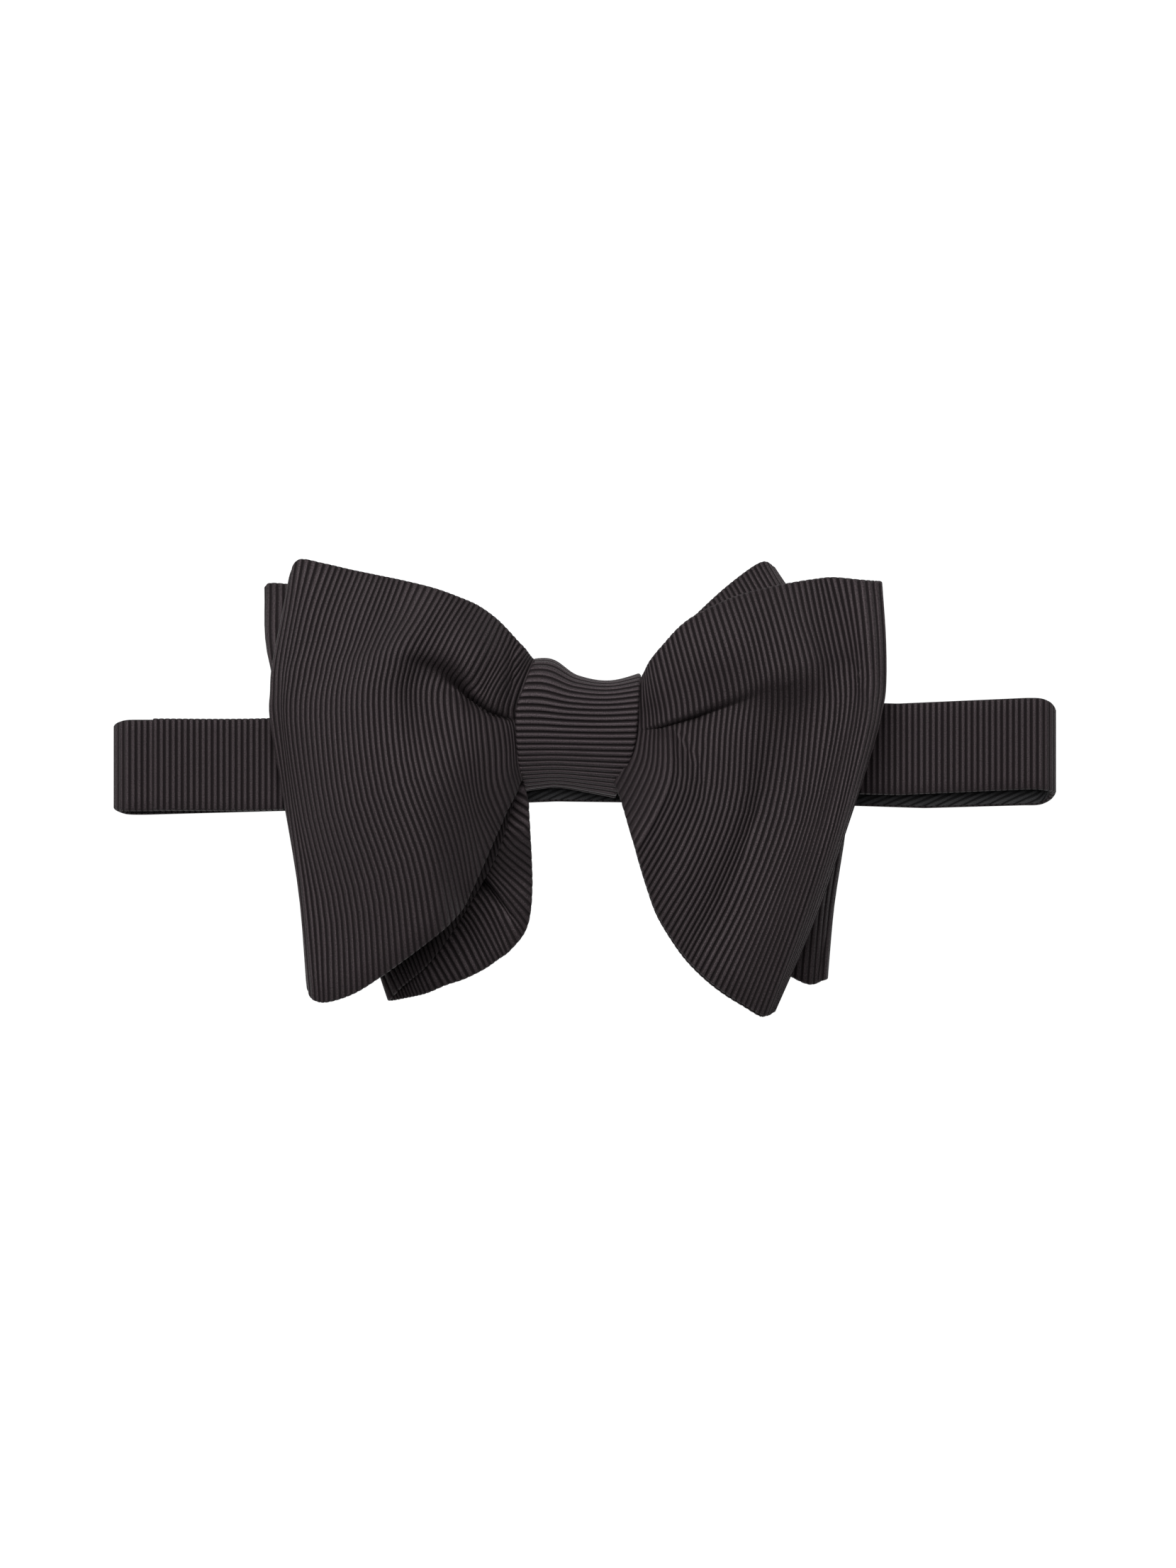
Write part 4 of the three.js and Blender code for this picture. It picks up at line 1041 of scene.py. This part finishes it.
def loop_end(direction, lower_y, upper_y):
    """One end of the flattened loop, from its rear layer round to its front layer."""
    radius = (LOOP_END_Z - REAR_LAYER_Z) / 2
    end_x = LOOP_LENGTH / 2 - BAND_CLOTH / 2 - radius
    xs, zs = half_turn(direction * end_x, REAR_LAYER_Z + radius, radius, direction, END_STEPS)
    share = np.arange(END_STEPS + 1) / END_STEPS
    ys = mix(lower_y, upper_y, smooth_step(share))
    widths = BAND_WIDTH - END_NARROWING * np.sin(math.pi * share) ** 4
    return list(zip(xs, ys, widths, zs))


def band_way():
    """The band's path as rows of x, y, width, z."""
    left = [(x, y, BAND_WIDTH, REAR_LAYER_Z) for x, y in REAR_LAYER_LEFT]
    right = [(x, y, BAND_WIDTH, REAR_LAYER_Z) for x, y in REAR_LAYER_RIGHT]
    left_end = loop_end(-1, left[-1][Y], FRONT_LAYER[0][Y])
    right_end = loop_end(1, right[0][Y], FRONT_LAYER[-1][Y])[::-1]
    return np.array([*hairpin(1)[::-1], *left, *left_end, *FRONT_LAYER, *right_end, *right, *hairpin(-1)])


def tail_way():
    """The path of the doubled end, which lies on the band's front layer."""
    x = np.linspace(TAIL["from"], TAIL["to"], TAIL_STEPS)
    y = band_front(Y, x) + TAIL["rise"]
    z = band_front(Z, x) + BAND_CLOTH / 2 + GAP + TAIL["thickness"] / 2
    return np.stack([x, y, np.full(TAIL_STEPS, TAIL["width"]), z], -1)


# %% Strips of silk
BAND_ACROSS = 9
WAY_STEP = 0.1
EASED_STEPS = 23
LINING_RELIEF = 0.15
LOOP_MIDDLE = np.array([0, 0, LOOP_END_TOP / 2])
LINED = (LINING, BAND_ACROSS + RIM_STEPS, 2 * BAND_ACROSS + RIM_STEPS - 1)  # the columns of its back


def at_places(places, known, columns):
    return np.stack([np.interp(places, known, columns[:, k]) for k in range(columns.shape[1])], -1)


def smooth_way(way):
    """A path's rows at the rib lines, with its corners eased, their rib numbers and its length."""
    chord = lengths_along(way[:, [X, Y, Z]])
    dense = at_places(np.arange(0, chord[-1], WAY_STEP), chord, way)
    window = np.hanning(EASED_STEPS)
    window /= window.sum()
    pad = EASED_STEPS // 2
    padded = np.vstack([2 * dense[:1] - dense[pad:0:-1], dense, 2 * dense[-1:] - dense[-2:-pad - 2:-1]])
    eased = np.stack([np.convolve(column, window, "valid") for column in padded.T], -1)
    length = lengths_along(eased[:, [X, Y, Z]])
    count = int(length[-1] / RIB)
    phases = np.append(rib_phases([False] * count), count)
    return at_places(phases / count * length[-1], length, eased), phases, length[-1]


def strip_middle(way):
    """Middle points of a strip whose width runs along Y."""
    side = np.linspace(1, -1, BAND_ACROSS)
    x, y, width, z = (way[:, k, None] for k in (X, Y, WIDTH, Z))
    grid_y = y + (width / 2 - RIM_REACH) * side[None, :]
    return np.stack([x + 0 * grid_y, grid_y, z + 0 * grid_y], -1)


def sewn_ends(phases, half):
    """Half thicknesses of a strip that closes to a seam at both ends."""
    from_end = np.minimum(phases - phases[0], phases[-1] - phases) * RIB
    return half * np.sqrt(np.clip(1 - (1 - np.clip(from_end / half, 0, 1)) ** 2, 0, 1))


def make_strip(name, way, thickness, lining=None):
    """A strip of silk whose face looks away from the middle of the neck loop."""
    way, phases, length = smooth_way(way)
    middle = strip_middle(way)
    normal = wall_normals(middle, False)
    normal = normal * np.sign((normal * (middle - LOOP_MIDDLE)).sum(-1).mean())
    half = np.repeat(sewn_ends(phases, thickness / 2)[:, None], BAND_ACROSS, 1)
    relief = np.minimum(rib_relief(phases), half)
    skin = skin_round_wall(middle, normal, half, relief, LINING_RELIEF if lining else 1.0)
    print(name, "is", round(length), "mm long")
    return cloth_mesh(name, skin, phases, False, BAND_SILK, lining)


band = make_strip("neck_band_silk", band_way(), BAND_CLOTH, LINED)
tail = make_strip("band_tail_silk", tail_way(), TAIL["thickness"])

# %% [markdown]
# ## The clasp
# The clasp hides under the right wing. Its plate keeps the CAD shape and gets the finish of stamped
# steel: fine lines along it from rolling, which make it a little lighter and duller by turns.

# %% Stamped steel
ROLLING_SCALE = (300, 6000, 300)
STEEL_DARK = (0.42, 0.42, 0.43, 1)
STEEL_LIGHT = (0.56, 0.56, 0.57, 1)


def stamped_steel():
    made, tree = new_material("stamped_steel")
    place = node(tree, "TexCoord", {}).outputs["Object"]
    turn = node(tree, "Mapping", {"Vector": place, "Scale": ROLLING_SCALE}).outputs["Vector"]
    rolling = node(tree, "TexNoise", {"Vector": turn, "Scale": 1.0}).outputs["Fac"]
    principled(tree, {
        "Base Color": mix_colours(tree, rolling, STEEL_DARK, STEEL_LIGHT),
        "Roughness": map_range(tree, rolling, after=(0.22, 0.42)),
        "Metallic": 1.0,
    })
    return made


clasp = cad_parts["hook_clasp"]
clasp.data.materials.clear()
clasp.data.materials.append(stamped_steel())

# %% [markdown]
# ## Putting each piece on the body
# Every piece rides on the one body and stands for its CAD solid, which is hidden.

# %% Pieces and cloth
PIECES = [
    # piece, CAD node, slot, flat width and length in mm, flat area in cm2, how it is held, rests on
    (front_bow, "front_bow", "ribbed_silk", (96, 320), 230, "gathered", ["rear_bow_silk"]),
    (rear_bow, "rear_bow", "ribbed_silk", (90, 300), 200, "gathered", ["neck_band_silk"]),
    (knot, "knot_wrap", "knot_silk", (26, 80), 20, "folded", ["front_bow_silk"]),
    (band, "neck_band", "band_silk", (19.3, 420), 80, "folded", ["hook_clasp"]),
    (tail, "band_tail", "band_silk", (19.4, 34), 6.5, "laid", ["neck_band_silk"]),
]
for piece, cad_node, slot, flat, area, held, rests_on in PIECES:
    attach(piece, "root")
    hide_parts(cad_node)
